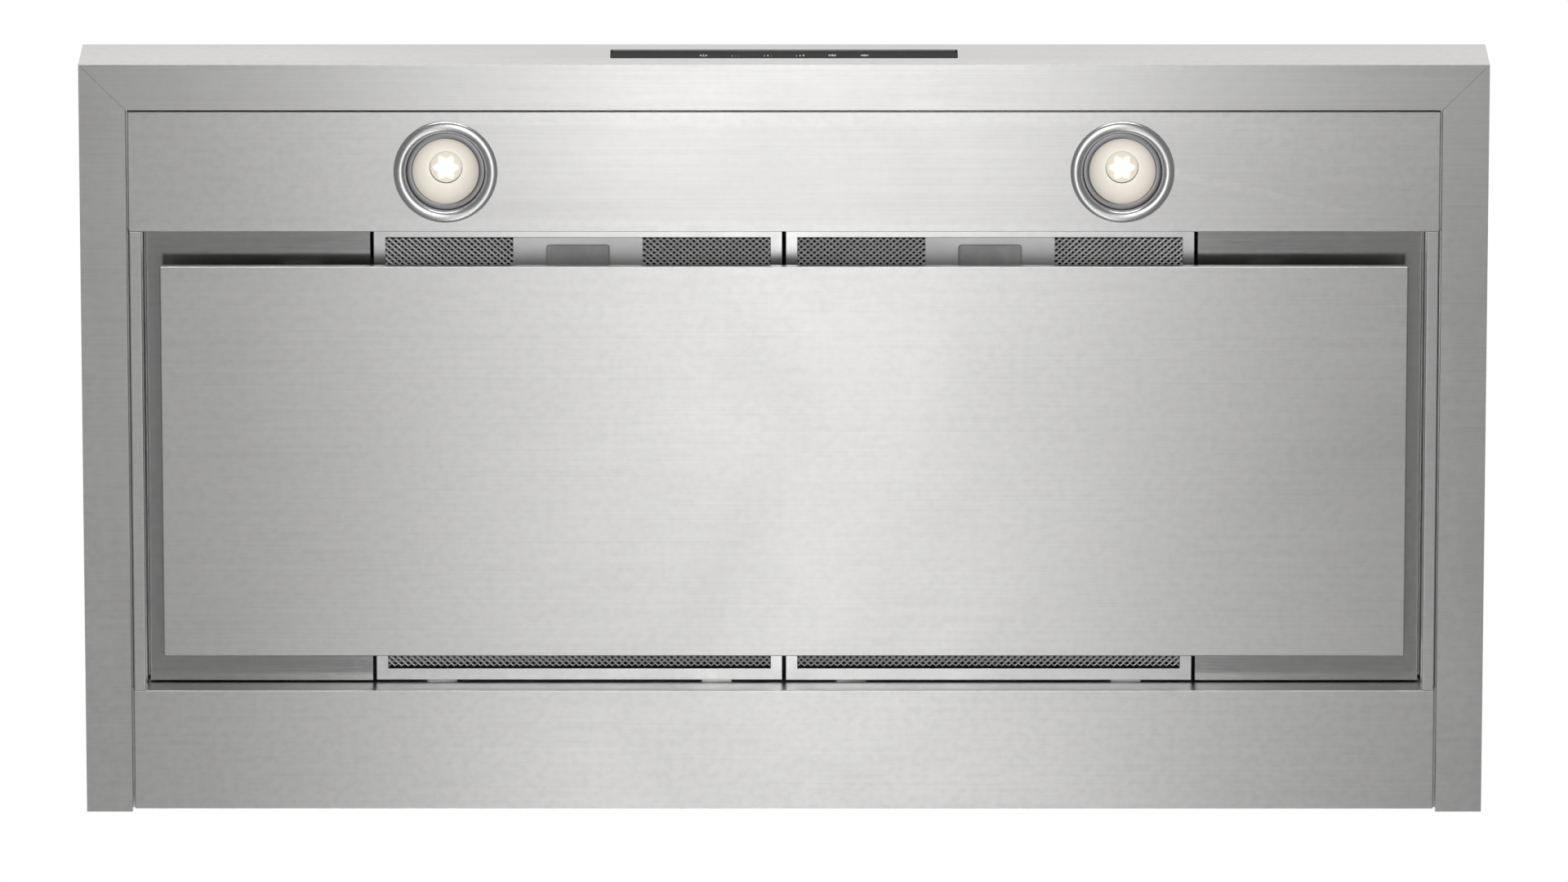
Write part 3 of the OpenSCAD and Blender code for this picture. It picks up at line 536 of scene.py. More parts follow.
class Finishes:
    """Every finish of the hood, by the record's slot name, and the extra ones."""

    BY_SLOT = {
        "brushed_stainless": BrushedSteel("brushed_stainless", (0.74, 0.735, 0.73), 0.34),
        "galvanised_steel": ZincCoat("galvanised_steel", (0.56, 0.57, 0.585), 0.42),
        "bright_steel": SatinMetal("bright_steel", (0.72, 0.72, 0.73), 0.22),
        "magnet": MouldedPlastic("magnet", (0.035, 0.035, 0.04), 0.55),
        "black_glass": DarkGlass("black_glass", (0.012, 0.012, 0.013), 0.12),
        "black_plastic": MouldedPlastic("black_plastic", (0.022, 0.022, 0.024), 0.48),
        "circuit_board": CircuitBoard("circuit_board", (0.012, 0.13, 0.05), 0.35),
        "blower_wheel": SatinMetal("blower_wheel", (0.62, 0.63, 0.64), 0.36),
        "motor_paint": MouldedPlastic("motor_paint", (0.045, 0.047, 0.052), 0.38, coat=0.3),
        "isolator_rubber": MouldedPlastic("isolator_rubber", (0.018, 0.018, 0.018), 0.75),
        "capacitor_case": MouldedPlastic("capacitor_case", (0.62, 0.62, 0.59), 0.4),
        "cable_jacket": MouldedPlastic("cable_jacket", (0.02, 0.02, 0.021), 0.5),
        "filter_frame": SatinMetal("filter_frame", (0.80, 0.80, 0.80), 0.33),
        "filter_mesh": SatinMetal("filter_mesh", (0.84, 0.84, 0.84), 0.34),
        "latch_grey": MouldedPlastic("latch_grey", (0.84, 0.84, 0.84), 0.6, 0.2),
        "lamp_trim": SatinMetal("lamp_trim", (0.78, 0.78, 0.785), 0.27, depth=0.000003),
        "lamp_barrel": SatinMetal("lamp_barrel", (0.40, 0.39, 0.43), 0.38),
        "lamp_reflector": Glowing("lamp_reflector", (1.0, 0.95, 0.86), 0.5, dim=(0.20, 0.19, 0.17),
                                  strength=0.5),
        "lamp_lens": Glowing("lamp_lens", (1.0, 0.97, 0.90), 0.25, dim=(0.62, 0.54, 0.43), strength=0.78),
    }
    RIM = SatinMetal("lamp_rim", (0.34, 0.335, 0.34), 0.36)
    PLATE = SatinMetal("handle_plate", (0.92, 0.92, 0.92), 0.5, 0.7)
    MIRROR = BrushedSteel("side_plate_steel", (0.70, 0.70, 0.695), 0.15, depth=0.000006)
    KEY_PRINT = Glowing("key_print", (1.0, 1.0, 1.0), 0.5, dim=(0.85, 0.86, 0.88), strength=0.55)

    @classmethod
    def of_slot(cls, slot: str) -> bpy.types.Material:
        """The material of a slot of the record."""
        return cls.BY_SLOT[slot].material()


# ---- Surfaces ----


@dataclass
class Surface:
    """Points, four-sided and many-sided faces of a mesh, and values on its points."""

    points: np.ndarray
    quads: np.ndarray
    rings: list[np.ndarray] = field(default_factory=list)
    glow: np.ndarray | None = None

    @staticmethod
    def joined(parts: list["Surface"]) -> "Surface":
        """All the parts as one surface, each part's face numbers moved past those before it."""
        starts = np.cumsum([0] + [len(p.points) for p in parts[:-1]])
        glows = [np.zeros(len(p.points)) if p.glow is None else p.glow for p in parts]
        return Surface(
            np.concatenate([p.points for p in parts]),
            np.concatenate([p.quads + s for p, s in zip(parts, starts)]),
            [ring + s for p, s in zip(parts, starts) for ring in p.rings],
            np.concatenate(glows))

    def mesh(self, name: str) -> bpy.types.Mesh:
        """The surface as a mesh, with the glow as an attribute of its points."""
        counts = np.concatenate([np.full(len(self.quads), 4), [len(r) for r in self.rings]]).astype(np.int32)
        corners = np.concatenate([self.quads.ravel(), *self.rings]).astype(np.int32)
        mesh = bpy.data.meshes.new(name)
        mesh.vertices.add(len(self.points))
        mesh.vertices.foreach_set("co", self.points.astype(np.float32).ravel())
        mesh.loops.add(len(corners))
        mesh.loops.foreach_set("vertex_index", corners)
        mesh.polygons.add(len(counts))
        mesh.polygons.foreach_set("loop_start", (np.cumsum(counts) - counts).astype(np.int32))
        mesh.polygons.foreach_set("loop_total", counts)
        mesh.update(calc_edges=True)
        if self.glow is not None:
            values = mesh.attributes.new("glow", "FLOAT", "POINT").data
            values.foreach_set("value", self.glow.astype(np.float32))
        mesh.validate()
        return mesh


def grid_quads(rows: int, cols: int, round_rows: bool = False, round_cols: bool = False) -> np.ndarray:
    """Faces of a grid of points that is stored row by row.

    Args:
        rows: Number of rows.
        cols: Points in each row.
        round_rows: The last row joins the first.
        round_cols: The last column joins the first.

    Returns:
        Point numbers of each face, four to a face.
    """
    i = np.arange(rows if round_rows else rows - 1)[:, None]
    j = np.arange(cols if round_cols else cols - 1)[None, :]
    i2, j2 = (i + 1) % rows, (j + 1) % cols
    return np.stack([i * cols + j, i * cols + j2, i2 * cols + j2, i2 * cols + j], -1).reshape(-1, 4)


def turned(profile: np.ndarray, centre: tuple[float, float, float], steps: int = 96) -> Surface:
    """A profile of radius and height turned round a vertical axis: x is r cos a, y is r sin a, and z is the
    height. The profile is closed, or starts and ends on the axis.

    Args:
        profile: Radius and height of each point, anticlockwise seen with the radius to the right.
        centre: Where the axis is, and the height that the profile counts from.
        steps: Points round the axis.

    Returns:
        The surface.
    """
    a = np.linspace(0, 2 * np.pi, steps, endpoint=False)[:, None]
    r = profile[None, :, 0]
    points = np.stack([centre[0] + r * np.cos(a), centre[1] + r * np.sin(a),
                       centre[2] + np.broadcast_to(profile[None, :, 1], (steps, len(profile)))], -1)
    closed = profile[0, 0] > 1e-9
    return Surface(points.reshape(-1, 3), grid_quads(steps, len(profile), True, closed)[:, ::-1])


def tube(path: np.ndarray, radius: float, sides: int = 10) -> Surface:
    """A round bar along a path: each ring is the path's point plus the radius times cos of one cross
    direction and sin of the other, which are carried along the path without twist. Flat rings close its ends.

    Args:
        path: Points of the centre line.
        radius: Radius of the bar.
        sides: Points in each ring.

    Returns:
        The surface.
    """
    along = np.gradient(path, axis=0)
    along /= np.linalg.norm(along, axis=1)[:, None]
    start = np.cross(along[0], [0, 0, 1] if abs(along[0][2]) < 0.9 else [0, 1, 0])
    first = [start / np.linalg.norm(start)]
    for direction in along[1:]:
        carried = first[-1] - direction * (first[-1] @ direction)
        first.append(carried / np.linalg.norm(carried))
    first = np.array(first)
    second = np.cross(along, first)
    a = np.linspace(0, 2 * np.pi, sides, endpoint=False)
    points = path[:, None] + radius * (np.cos(a)[None, :, None] * first[:, None]
                                       + np.sin(a)[None, :, None] * second[:, None])
    quads = grid_quads(len(path), sides, False, True)
    last = (len(path) - 1) * sides
    return Surface(points.reshape(-1, 3), quads, [np.arange(sides)[::-1], np.arange(last, last + sides)])


def slab(outline: np.ndarray, low: float, high: float, axis: int) -> Surface:
    """A flat closed outline given thickness along an axis.

    Args:
        outline: Two coordinates of each corner, in the order of the two other axes.
        low: Lower end along the axis.
        high: Upper end along the axis.
        axis: 0, 1 or 2.

    Returns:
        The surface.
    """
    n = len(outline)
    points = np.concatenate([np.insert(outline, axis, level, axis=1) for level in (low, high)])
    return Surface(points, grid_quads(2, n, False, True), [np.arange(n)[::-1], np.arange(n, 2 * n)])


def stroke(line: np.ndarray, width: float) -> np.ndarray:
    """Outline of a drawn stroke: the line moved to both sides by half the width along its own normal.

    Args:
        line: Points of the stroke.
        width: Its width.

    Returns:
        Corners of the outline.
    """
    along = np.gradient(line, axis=0)
    along /= np.linalg.norm(along, axis=1)[:, None]
    across = np.stack([-along[:, 1], along[:, 0]], -1) * width / 2
    return np.concatenate([line - across, (line + across)[::-1]])


def arc(centre: tuple[float, float], radius: float, start: float, end: float, steps: int = 24) -> np.ndarray:
    """Points of an arc, between two angles in degrees."""
    a = np.radians(np.linspace(start, end, steps))
    return np.stack([centre[0] + radius * np.cos(a), centre[1] + radius * np.sin(a)], -1)


# ---- Pieces ----

DOUBLES = 2e-6  # points closer than this are one
FLAT = math.radians(0.6)  # faces that meet at less are one face
FOLD = math.radians(33)  # faces that meet at more have an edge to round
FACE_SHARE = 0.42  # largest share of a narrow face that a rounding takes


def slot_of(node: str) -> str:
    """The material slot that the record gives a node."""
    return next(s["material_slot"] for s in frame["record"]["subparts"] if s["node"] == node)


def body_of(node: str) -> str:
    """The body that a node rides on."""
    return next(b for b, nodes in frame["record"]["behaviour"]["bodies"].items() if node in nodes)


def finished(mesh: bpy.types.Mesh, name: str, material: bpy.types.Material, body: str,
             stands_for: tuple[str, ...] = (), crease: float = 32.0) -> bpy.types.Object:
    """Makes a piece of a mesh, dresses it, and lets it ride on its body.

    Args:
        mesh: The mesh, in the hood's own frame.
        name: The piece's name.
        material: Its material.
        body: The body that it rides on.
        stands_for: The nodes that it replaces.
        crease: Angle in degrees above which an edge stays sharp.

    Returns:
        The piece.
    """
    piece = bpy.data.objects.new(name, mesh)
    bpy.context.scene.collection.objects.link(piece)
    mesh.materials.clear()
    mesh.materials.append(material)
    mesh.polygons.foreach_set("use_smooth", np.ones(len(mesh.polygons), bool))
    mesh.set_sharp_from_angle(angle=math.radians(crease))
    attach(piece, body)
    if stands_for:
        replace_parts(piece, *stands_for)
    LOG.info("%s rides on %s", name, body)
    return piece


def face_width(face: bmesh.types.BMFace) -> float:
    """Twice a face's area over its outline's length, which is the width of a long strip."""
    outline = sum(e.calc_length() for e in face.edges)
    return 2 * face.calc_area() / outline if outline else 0.0


def eased(node: str, edge: Edge, finish: Finish | None = None) -> bpy.types.Object:
    """A node's own sheet metal or casting with its folds rounded and its cut edges broken.

    A merged copy of the node's mesh gets a bevel weight on each edge: the radius of the edge, which is the
    smaller of the given rounding and a share of the narrower face's width, over the given rounding.

    Args:
        node: The node.
        edge: Largest rounding.
        finish: The piece's finish, which is the slot's if it isn't given.

    Returns:
        The piece.
    """
    form = bmesh.new()
    form.from_mesh(frame["nodes"][node].data)
    bmesh.ops.remove_doubles(form, verts=form.verts, dist=DOUBLES)
    bmesh.ops.dissolve_limit(form, angle_limit=FLAT, verts=form.verts, edges=form.edges)
    weight = form.edges.layers.float.new("bevel_weight_edge")
    widths = {f.index: face_width(f) for f in form.faces}
    for line in form.edges:
        if len(line.link_faces) == 2 and line.calc_face_angle(0.0) > FOLD:
            narrow = min(widths[f.index] for f in line.link_faces)
            line[weight] = min(edge.value, FACE_SHARE * narrow) / edge.value
    mesh = bpy.data.meshes.new(node + "_eased")
    form.to_mesh(mesh)
    form.free()
    material = finish.material() if finish else Finishes.of_slot(slot_of(node))
    piece = finished(mesh, node + "_eased", material, body_of(node), (node,))
    bevel = piece.modifiers.new("eased", "BEVEL")
    bevel.limit_method = "WEIGHT"
    bevel.width = edge.value
    bevel.segments = 3 if edge is Edge.FOLDED else 2
    bevel.use_clamp_overlap = True
    bevel.harden_normals = True
    return piece


# ---- Sub-assemblies ----


@dataclass
class Sheets:
    """A sub-assembly whose nodes keep their own form, by how far their edges are eased."""

    folded: tuple[str, ...] = ()
    softened: tuple[str, ...] = ()
    crisp: tuple[str, ...] = ()

    def build(self) -> None:
        """Builds the pieces, those with the largest roundings first."""
        groups = {Edge.FOLDED: self.folded, Edge.EASED: self.softened, Edge.CRISP: self.crisp}
        for edge, nodes in groups.items():
            for node in nodes:
                eased(node, edge)


@dataclass
class Shell(Sheets):
    """Outer sheets: the front canopy, the sides, the top and the back."""

    folded: tuple[str, ...] = ("canopy_front", "side_panel_left", "side_panel_right")
    softened: tuple[str, ...] = ("top_panel", "back_panel", "cabinet_braces")


@dataclass
class Liner(Sheets):
    """Sheets of the underside: lamp strip, rear strip, side rails and side plates."""

    folded: tuple[str, ...] = ("light_panel", "rear_liner", "liner_rail_left", "liner_rail_right")
    plates: tuple[str, ...] = ("filler_plate_left", "filler_plate_right")

    def build(self) -> None:
        """Builds the liner's sheets, and the smoother plates beside the filters."""
        super().build()
        for node in self.plates:
            eased(node, Edge.FOLDED, Finishes.MIRROR)


@dataclass
class PerimeterPanel(Sheets):
    """The hinged panel with its stiffeners, ears and strikes, and the brackets that hold it."""

    folded: tuple[str, ...] = ("perimeter_panel",)
    crisp: tuple[str, ...] = ("panel_stiffeners", "panel_hinge_ears", "catch_strikes", "hinge_brackets",
                              "hinge_pins", "catch_magnets")


@dataclass
class Sided:
    """A sub-assembly that is there once on each side of the hood."""

    side: Side
    kind: ClassVar[str]
    body: ClassVar[str]

    def node(self, part: str) -> str:
        """Name of one of the sub-assembly's nodes or pieces."""
        return f"{self.kind}_{self.side.word}_{part}"

    def piece(self, surface: Surface, part: str, slot: str, stands_for: tuple[str, ...] = (),
              crease: float = 60.0, finish: Finish | None = None) -> bpy.types.Object:
        """A surface as a piece on the sub-assembly's body.

        Args:
            surface: The surface, in the hood's own frame.
            part: Last part of the piece's name.
            slot: The record's slot of its finish.
            stands_for: Last parts of the names of the nodes that it replaces.
            crease: Angle in degrees above which an edge stays sharp.
            finish: Its finish, which is the slot's if it isn't given.

        Returns:
            The piece.
        """
        material = (finish or Finishes.BY_SLOT[slot]).material()
        name, body = self.node(part), self.body.format(self.side.word)
        nodes = tuple(self.node(node) for node in stands_for)
        return finished(surface.mesh(name), name, material, body, nodes, crease)


@dataclass
class GreaseFilter(Sided):
    """One filter: rim, two layers of expanded sheet, handle plate, latch and springs."""

    pitch_x: float = 4.3 * MM
    pitch_y: float = 3.75 * MM
    strand: float = 0.92 * MM
    sheet: float = 0.5 * MM
    inset: float = 0.5 * MM
    rise: float = 0.1 * MM
    turns: int = 8
    coil_r: float = 1.8 * MM
    wire_r: float = 0.4 * MM
    kind: ClassVar[str] = "filter"
    body: ClassVar[str] = "filter_{}"

    def build(self) -> None:
        """Builds the filter's pieces."""
        eased(self.node("frame"), Edge.EASED)
        eased(self.node("handle"), Edge.EASED, Finishes.PLATE)
        eased(self.node("latch"), Edge.EASED)
        low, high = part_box(self.node("mesh"))
        self.layer("mesh_lower", low.z + self.inset, low, high, 0.0, 4)
        self.layer("mesh_upper", high.z - self.inset, low, high, self.pitch_y / 4, 3)
        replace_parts(bpy.data.objects[self.node("mesh_lower")], self.node("mesh"))
        self.springs()

    def layer(self, part: str, z: float, low: Vector, high: Vector, shift: float, corners: int) -> None:
        """One layer of expanded sheet.

        Row j of its strands zigzags: y is j times half the pitch, plus or minus a quarter of it in turn at
        each half pitch along X, so each row's crests meet the next row's troughs. A strand's section is a
        small flat bar, turned a little about the row, and it rises where two strands are one.

        Args:
            part: Last part of the piece's name.
            z: Height of the layer's middle.
            low: Lowest corner of the mesh node.
            high: Highest corner of the mesh node.
            shift: How far the rows are moved along Y.
            corners: Corners of a strand's section, 3 or 4.
        """
        plate_low, plate_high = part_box(self.node("handle"))
        row = self.pitch_y / 2
        steps = int(round((high.x - low.x) / (self.pitch_x / 2)))
        rows = int((high.y - low.y - 2 * shift) / row) - 1
        x = np.linspace(low.x, high.x, steps + 1)
        sign = np.where(np.arange(steps + 1) % 2, 1.0, -1.0)
        w, t = self.strand / 2, self.sheet / 2
        section = (np.array([[-w, -0.2 * t], [w, -t], [w, 0.2 * t], [-w, t]]) if corners == 4
                   else np.array([[-w, 0.0], [w, -t], [0.2 * w, t]]))
        parts = []
        for j in range(rows):
            way = 1.0 if j % 2 else -1.0
            y = low.y + shift + (j + 1) * self.pitch_y / 2 + way * sign * (self.pitch_y / 4 - self.rise)
            for lo, hi in self.stretches(x, low.y + (j + 1) * self.pitch_y / 2, plate_low, plate_high):
                line, count = slice(lo, hi), hi - lo
                flat = np.stack([np.broadcast_to(x[line, None], (count, corners)),
                                 y[line, None] + section[None, :, 0],
                                 z + section[None, :, 1] + self.rise * way * sign[line, None]], -1)
                ends = [np.arange(corners)[::-1], np.arange((count - 1) * corners, count * corners)]
                parts.append(Surface(flat.reshape(-1, 3), grid_quads(count, corners, False, True), ends))
        self.piece(Surface.joined(parts), part, "filter_mesh", crease=20.0)

    @staticmethod
    def stretches(x: np.ndarray, y: float, low: Vector, high: Vector) -> list[tuple[int, int]]:
        """Where a row of strands runs: all the way, or on both sides of the handle plate.

        Args:
            x: Positions along the row.
            y: The row's place.
            low: Lowest corner of the handle plate.
            high: Highest corner of the handle plate.

        Returns:
            First and past-the-last position of each stretch.
        """
        if not low.y - 1 * MM < y < high.y + 1 * MM:
            return [(0, len(x))]
        return [(0, int(np.searchsorted(x, low.x)) + 1), (int(np.searchsorted(x, high.x)) - 1, len(x))]

    def springs(self) -> None:
        """Two coil springs behind the latch: a bar along a helix, which is x plus r cos a, z plus r sin a,
        with y in step with the angle and close turns at both ends."""
        low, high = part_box(self.node("spring"))
        centre_x, z = (low.x + high.x) / 2, (low.z + high.z) / 2
        reach = (high.x - low.x) / 2 - self.coil_r - self.wire_r
        t = np.linspace(0, 1, 30 * self.turns + 1)
        closer = t + 0.06 * np.sin(2 * np.pi * t)
        a = 2 * np.pi * self.turns * t
        coils = []
        for way in (-1, 1):
            y = low.y + self.wire_r + (high.y - low.y - 2 * self.wire_r) * (2 * t - closer)
            x = centre_x + way * reach + self.coil_r * np.cos(a)
            path = np.stack([x, y, z + self.coil_r * np.sin(a)], -1)
            coils.append(tube(path, self.wire_r * 0.98, 8))
        piece = self.piece(Surface.joined(coils), "coils", "bright_steel", ("spring",))
        travel = next(j for j in frame["joints"] if j["name"] == self.node("latch_slide"))["range_m"][1]
        self.node("latch_slide")
        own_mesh(piece)


@dataclass
class Lamp(Sided):
    """One recessed lamp: trim ring, rim, reflector, lobed lens, barrel and clips."""

    lobes: int = 6
    rim_w: float = 4.2 * MM
    wall: float = 0.5 * MM
    kind: ClassVar[str] = "lamp"
    body: ClassVar[str] = "hood"

    def axis(self) -> tuple[float, float]:
        """Where the lamp's axis is."""
        low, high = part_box(self.node("trim"))
        return (low.x + high.x) / 2, (low.y + high.y) / 2

    def build(self) -> None:
        """Builds the lamp's pieces."""
        self.trim()
        self.reflector()
        self.lens()
        for part in ("barrel", "clips"):
            eased(self.node(part), Edge.CRISP)

    def trim(self) -> None:
        """The bead round the lamp: a half ellipse between its two radii, turned."""
        low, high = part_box(self.node("trim"))
        x, y = self.axis()
        outer = (high.x - low.x) / 2
        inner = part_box(self.node("reflector"))
        inner_r = (inner[1].x - inner[0].x) / 2 + 0.6 * MM
        a = np.radians(np.linspace(0, 180, 25))
        middle, half = (outer + inner_r) / 2, (outer - inner_r) / 2
        r = middle - half * np.cos(a)
        z = -(high.z - low.z) * np.sin(a) ** 0.8
        profile = np.stack([r, z], -1)
        self.piece(turned(profile, (x, y, high.z), 128), "ring", "lamp_trim", ("trim",))

    def reflector(self) -> None:
        """The rim ring, and the frosted bowl: radius falls from the rim to the lens along a soft curve, in a
        thin wall. The bowl glows more towards the lens."""
        low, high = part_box(self.node("reflector"))
        x, y = self.axis()
        outer = (high.x - low.x) / 2
        bowl = outer - self.rim_w
        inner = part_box(self.node("lens"))
        lens_r = (inner[1].x - inner[0].x) / 2
        a = np.linspace(0, 2 * np.pi, 20, endpoint=False)
        across = np.sign(np.cos(a)) * np.abs(np.cos(a)) ** 0.6
        up = np.sign(np.sin(a)) * np.abs(np.sin(a)) ** 0.7
        ring = np.stack([(bowl + outer) / 2 + (outer - bowl) / 2 * across, 0.4 * MM + 0.75 * MM * up], -1)
        self.piece(turned(ring, (x, y, low.z), 112), "rim", "lamp_barrel", crease=50.0, finish=Finishes.RIM)
        t = np.linspace(0, 1, 22)
        depth = high.z - low.z
        r = bowl - (bowl - lens_r - 0.4 * MM) * t ** 1.35
        z = depth * np.sin(t * np.pi / 2) ** 1.1
        inside = np.stack([r, z], -1)
        outside = np.stack([r + self.wall, z + self.wall * 0.2], -1)
        surface = turned(np.concatenate([outside, inside[::-1]]), (x, y, low.z), 96)
        glow = np.concatenate([np.zeros(len(t)), (0.04 + 0.92 * t ** 0.8)[::-1]])
        surface.glow = np.clip(np.tile(glow, 96), 0, 1)
        self.piece(surface, "bowl", "lamp_reflector", ("reflector",))

    def lens(self) -> None:
        """The moulded lens: a round dome with raised petals, and a small nub at its centre.

        A petal reaches to 0.68 plus 0.12 cos(lobes * a) of the radius. The drop is a quarter ellipse plus a
        step of the petals, smoothed along the radius. The petals glow most, the nub and the edge least."""
        low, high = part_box(self.node("lens"))
        x, y = self.axis()
        outer = (high.x - low.x) / 2
        steps, count = 120, 40
        t = np.linspace(0, 1, count)
        a = np.linspace(0, 2 * np.pi, steps, endpoint=False)[:, None]
        reach = 0.68 + 0.12 * np.cos(self.lobes * a)
        petal = 1 / (1 + np.exp(-(reach - t[None, :]) / 0.03))
        nub = np.exp(-(t * 11.0) ** 2)[None, :]
        top = high.z - low.z - 0.1 * MM
        flat = np.stack([np.append(outer * t, [outer, 0.0]), np.append(np.zeros(count), [top, top])], -1)
        surface = turned(flat, (x, y, low.z), steps)
        height = surface.points[:, 2].reshape(steps, -1)
        round_part = 2.6 * MM - 1.5 * MM * np.sqrt(1 - 0.98 * t[None, :] ** 2)
        height[:, :count] += round_part - 0.8 * MM * petal - 0.25 * MM * nub
        surface.points[:, 2] = height.ravel()
        glow = 0.12 + 0.88 * petal - 0.5 * nub * (1 - np.exp(-(t * 30.0) ** 2))[None, :]
        surface.glow = np.clip(np.concatenate([glow, np.zeros((steps, 2))], 1), 0, 1).ravel()
        mesh = surface.mesh(self.node("dome"))
        form = bmesh.new()
        form.from_mesh(mesh)
        bmesh.ops.remove_doubles(form, verts=form.verts, dist=1e-6)
        form.to_mesh(mesh)
        form.free()
        finished(mesh, self.node("dome"), Finishes.of_slot("lamp_lens"), self.body,
                 (self.node("lens"),), 50.0)


@dataclass
class TouchControls:
    """Glass strip in the front lip with six key signs, and its carrier."""

    pitch: float = 20.9 * MM
    size: float = 5.6 * MM
    line: float = 0.55 * MM
    print_t: float = 0.05 * MM

    def build(self) -> None:
        """Builds the strip's pieces."""
        eased("touch_glass", Edge.CRISP)
        eased("touch_carrier", Edge.EASED)
        low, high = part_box("touch_glass")
        parts = []
        for icon in KeyIcon:
            x = (icon.value - (len(KeyIcon) - 1) / 2) * self.pitch
            z = (low.z + high.z) / 2
            for outline in self.strokes(icon):
                placed = outline * self.size / 2 + np.array([x, z])
                parts.append(slab(placed, low.y - self.print_t, low.y + self.print_t, 1))
        mesh = Surface.joined(parts).mesh("key_signs")
        form = bmesh.new()
        form.from_mesh(mesh)
        bmesh.ops.recalc_face_normals(form, faces=form.faces)
        form.to_mesh(mesh)
        form.free()
        finished(mesh, "key_signs", Finishes.KEY_PRINT.material(), "hood", (), 30.0)

    def strokes(self, icon: KeyIcon) -> list[np.ndarray]:
        """Outlines of one sign's strokes, in a square from -1 to 1 with Z up.

        Args:
            icon: The sign.

        Returns:
            Outlines.
        """
        w = 2 * self.line / self.size

        def bar(x0: float, z0: float, x1: float, z1: float) -> np.ndarray:
            """A straight stroke between two points."""
            return stroke(np.array([[x0, z0], [x1, z1]], float), w)

        if icon is KeyIcon.POWER:
            return [stroke(arc((0, 0), 0.75, 130, 410), w), bar(0, 0.25, 0, 1.0)]
        if icon is KeyIcon.TIMER:
            return [stroke(arc((0, 0), 0.8, 0, 360, 40), w), bar(0, 0, 0, 0.5), bar(0, 0, 0.38, -0.2)]
        if icon is KeyIcon.LIGHT:
            rays = [bar(0.62 * math.cos(a), 0.62 * math.sin(a), math.cos(a), math.sin(a))
                    for a in np.radians(np.arange(0, 360, 45))]
            return [stroke(arc((0, 0), 0.36, 0, 360, 24), w), *rays]
        steps = icon.value
        return [bar(-0.8 + 0.8 * k, -0.85, -0.8 + 0.8 * k, -0.85 + 0.55 * (k + 1)) if k < steps
                else bar(-0.8 + 0.8 * k, -0.85, -0.8 + 0.8 * k, -0.7) for k in range(3)]


@dataclass
class Blower(Sheets):
    """Sides of the fan housing and the motor's mount. The fan's other nodes keep their own shapes."""

    crisp: tuple[str, ...] = ("volute_side_left", "volute_side_right", "motor_mount")


@dataclass
class DuctCollar(Sheets):
    """Collar for the duct with the two damper flaps."""

    crisp: tuple[str, ...] = ("duct_collar", "damper_flap_front", "damper_flap_rear")


@dataclass
class Electrical(Sheets):
    """Junction box, its cover and the control module. The harness keeps its own shape."""

    softened: tuple[str, ...] = ("junction_box", "junction_box_cover", "control_module")


# ---- Stage ----


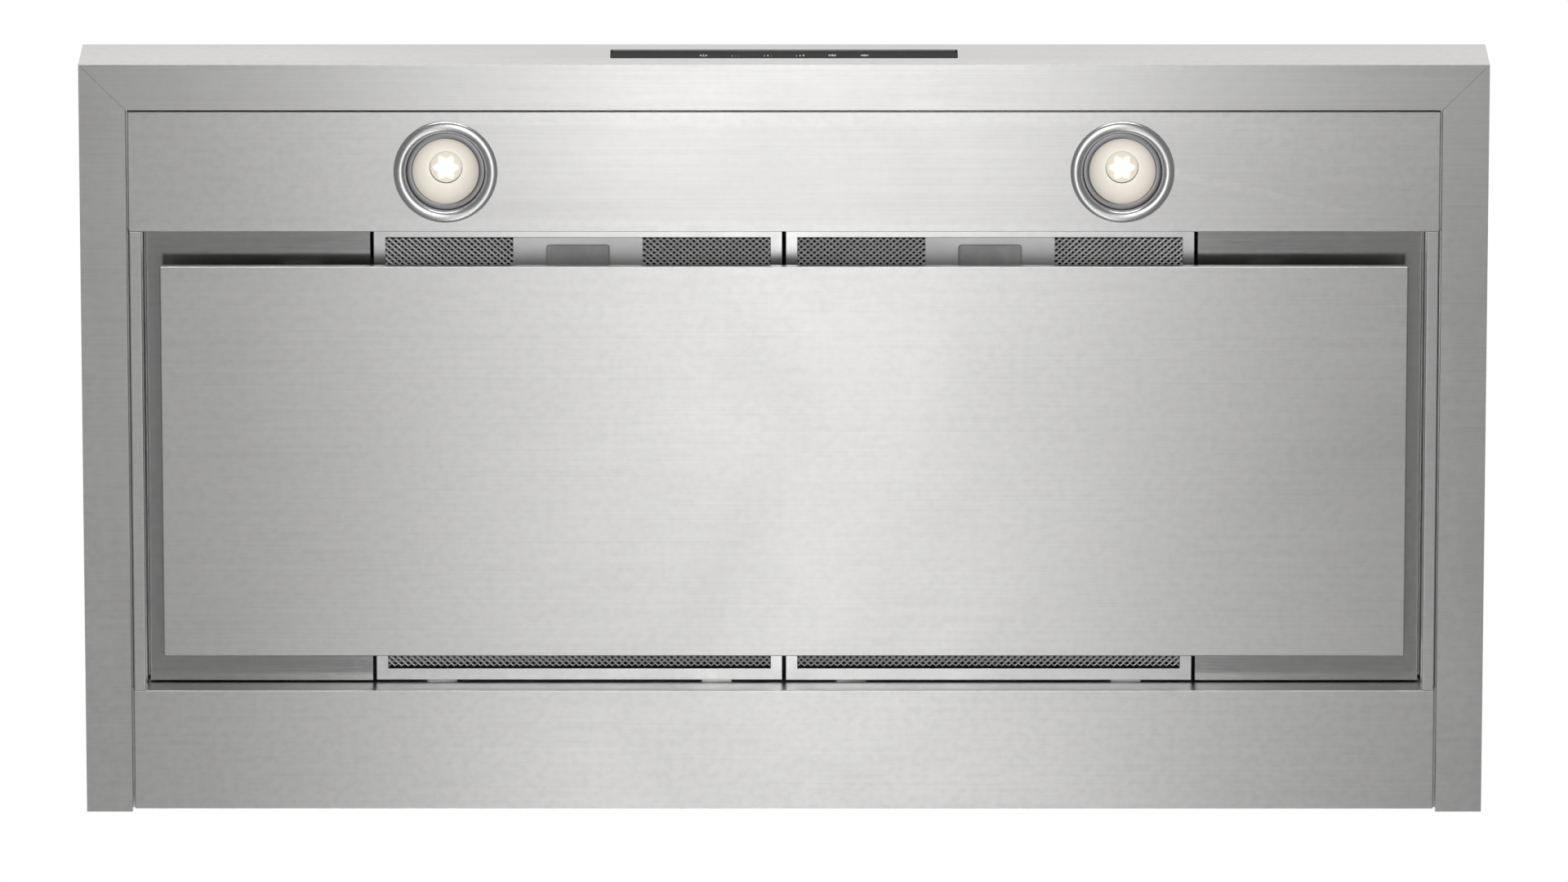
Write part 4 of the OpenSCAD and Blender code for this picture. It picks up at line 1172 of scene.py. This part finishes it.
@dataclass
class Studio:
    """Camera, lights, background and floor."""

    sensor: float = 36.0
    tilt: float = 13.6
    away: float = 9.0
    fill: float = 0.8948
    room: float = 0.20
    ceiling: float = 0.60

    def build(self) -> None:
        """Sets the camera, the lights and the floor."""
        self.camera()
        self.world()
        self.lights()
        self.floor()

    def camera(self) -> None:
        """A long lens below and a little in front of the hood, looking at the middle of its lower face, with
        the front of the hood up."""
        low, high = CAD_BOX[0], CAD_BOX[1]
        width = high[0] - low[0]
        target = Vector(((low[0] + high[0]) / 2, (low[1] + high[1]) / 2, low[2]))
        b = math.radians(self.tilt)
        forward = Vector((0, math.sin(b), math.cos(b)))
        up = Vector((0, -math.cos(b), math.sin(b)))
        data = bpy.data.cameras.new("lens")
        data.sensor_width = self.sensor
        data.lens = self.sensor * self.fill * self.away / width
        data.clip_start, data.clip_end = 0.1, 100.0
        camera = bpy.data.objects.new("camera", data)
        bpy.context.scene.collection.objects.link(camera)
        axes = Matrix((forward.cross(up), up, -forward)).transposed()
        camera.matrix_world = Matrix.Translation(target - forward * self.away) @ axes.to_4x4()
        bpy.context.scene.camera = camera

    def world(self) -> None:
        """White behind the hood, and round it the room that the metal sees, dim below and brighter above."""
        world = bpy.data.worlds.new("room")
        bpy.context.scene.world = world
        world.use_nodes = True
        tree = world.node_tree
        tree.nodes.clear()
        bench = Bench(tree)
        seen = bench.add("ShaderNodeLightPath").outputs["Is Camera Ray"]
        white = bench.add("ShaderNodeBackground", {"Color": (1, 1, 1, 1), "Strength": 1.0}).outputs[0]
        way = bench.add("ShaderNodeTexCoord").outputs["Generated"]
        rise = bench.add("ShaderNodeSeparateXYZ", {0: way}).outputs[2]
        strength = bench.spread(rise, -0.12, 0.25, self.room, self.ceiling)
        dim = bench.add("ShaderNodeBackground", {"Color": (1.0, 0.995, 0.99, 1), "Strength": strength})
        mix = bench.add("ShaderNodeMixShader", {0: seen, 1: dim.outputs[0], 2: white}).outputs[0]
        bench.add("ShaderNodeOutputWorld", {0: mix})
        bpy.context.scene.view_settings.view_transform = "Standard"
        bpy.context.scene.view_settings.look = "None"

    def light(self, name: str, place: tuple[float, float, float], aim: tuple[float, float, float],
              size: tuple[float, float], radiance: float) -> None:
        """One soft rectangular light of an even brightness.

        Args:
            name: Its name.
            place: Its centre.
            aim: The point that it faces.
            size: Width and height.
            radiance: Brightness of its face.
        """
        data = bpy.data.lights.new(name, "AREA")
        data.shape = "RECTANGLE"
        data.size, data.size_y = size
        data.energy = radiance * math.pi * size[0] * size[1]
        lamp = bpy.data.objects.new(name, data)
        bpy.context.scene.collection.objects.link(lamp)
        lamp.location = place
        lamp.rotation_euler = (Vector(aim) - Vector(place)).to_track_quat("-Z", "Y").to_euler()
        lamp.visible_camera = False

    def lights(self) -> None:
        """A long soft strip under the middle of the hood, and soft lights on every other side of it."""
        self.light("strip_below", (0, 0.35, -1.7), (0, 0.35, -0.2), (0.42, 2.6), 1.36)
        self.light("strip_front", (0, -0.42, -1.5), (0, -0.42, -0.2), (0.6, 0.7), 0.75)
        self.light("front", (0, -3.2, -0.9), (0, 0, -0.2), (2.6, 1.8), 2.6)
        self.light("above", (0, 0, 3.0), (0, 0, 0), (2.4, 3.4), 0.35)
        self.light("behind", (-0.8, 3.2, 1.2), (0, 0, -0.1), (2.4, 2.0), 2.6)
        self.light("left", (-3.4, -0.2, 0.9), (0, 0, -0.1), (2.0, 2.2), 1.5)
        self.light("right", (3.4, -0.2, 0.9), (0, 0, -0.1), (2.0, 2.2), 1.5)

    def floor(self) -> None:
        """A wide plain pale floor far below, which the hood hangs over."""
        mesh = bpy.data.meshes.new("floor")
        reach, level = 80.0, -24.0
        mesh.from_pydata([(-reach, -reach, level), (reach, -reach, level), (reach, reach, level),
                          (-reach, reach, level)], [], [(0, 1, 2, 3)])
        floor = bpy.data.objects.new("floor", mesh)
        bpy.context.scene.collection.objects.link(floor)
        material = bpy.data.materials.new("pale_floor")
        material.use_nodes = True
        surface = next(n for n in material.node_tree.nodes if n.type == "BSDF_PRINCIPLED")
        for key, value in {"Base Color": (0.86, 0.86, 0.86, 1), "Roughness": 0.9,
                           "Emission Color": (1, 1, 1, 1), "Emission Strength": 0.55}.items():
            surface.inputs[key].default_value = value
        mesh.materials.append(material)
        floor.visible_glossy = False
        floor.visible_diffuse = False


def dress_nodes() -> None:
    """Gives every node its slot's finish."""
    for name, node in frame["nodes"].items():
        node.data.materials.clear()
        node.data.materials.append(Finishes.of_slot(slot_of(name)))


def main() -> None:
    """Builds the stage and every sub-assembly in order."""
    logging.basicConfig(level=logging.INFO, format="%(message)s")
    Studio().build()
    dress_nodes()
    parts = [Shell(), Liner(), PerimeterPanel()]
    parts += [kind(side) for kind in (GreaseFilter, Lamp) for side in Side]
    parts += [TouchControls(), Blower(), DuctCollar(), Electrical()]
    for part in parts:
        LOG.info("building %s", type(part).__name__)
        part.build()


if __name__ == "__main__":
    main()
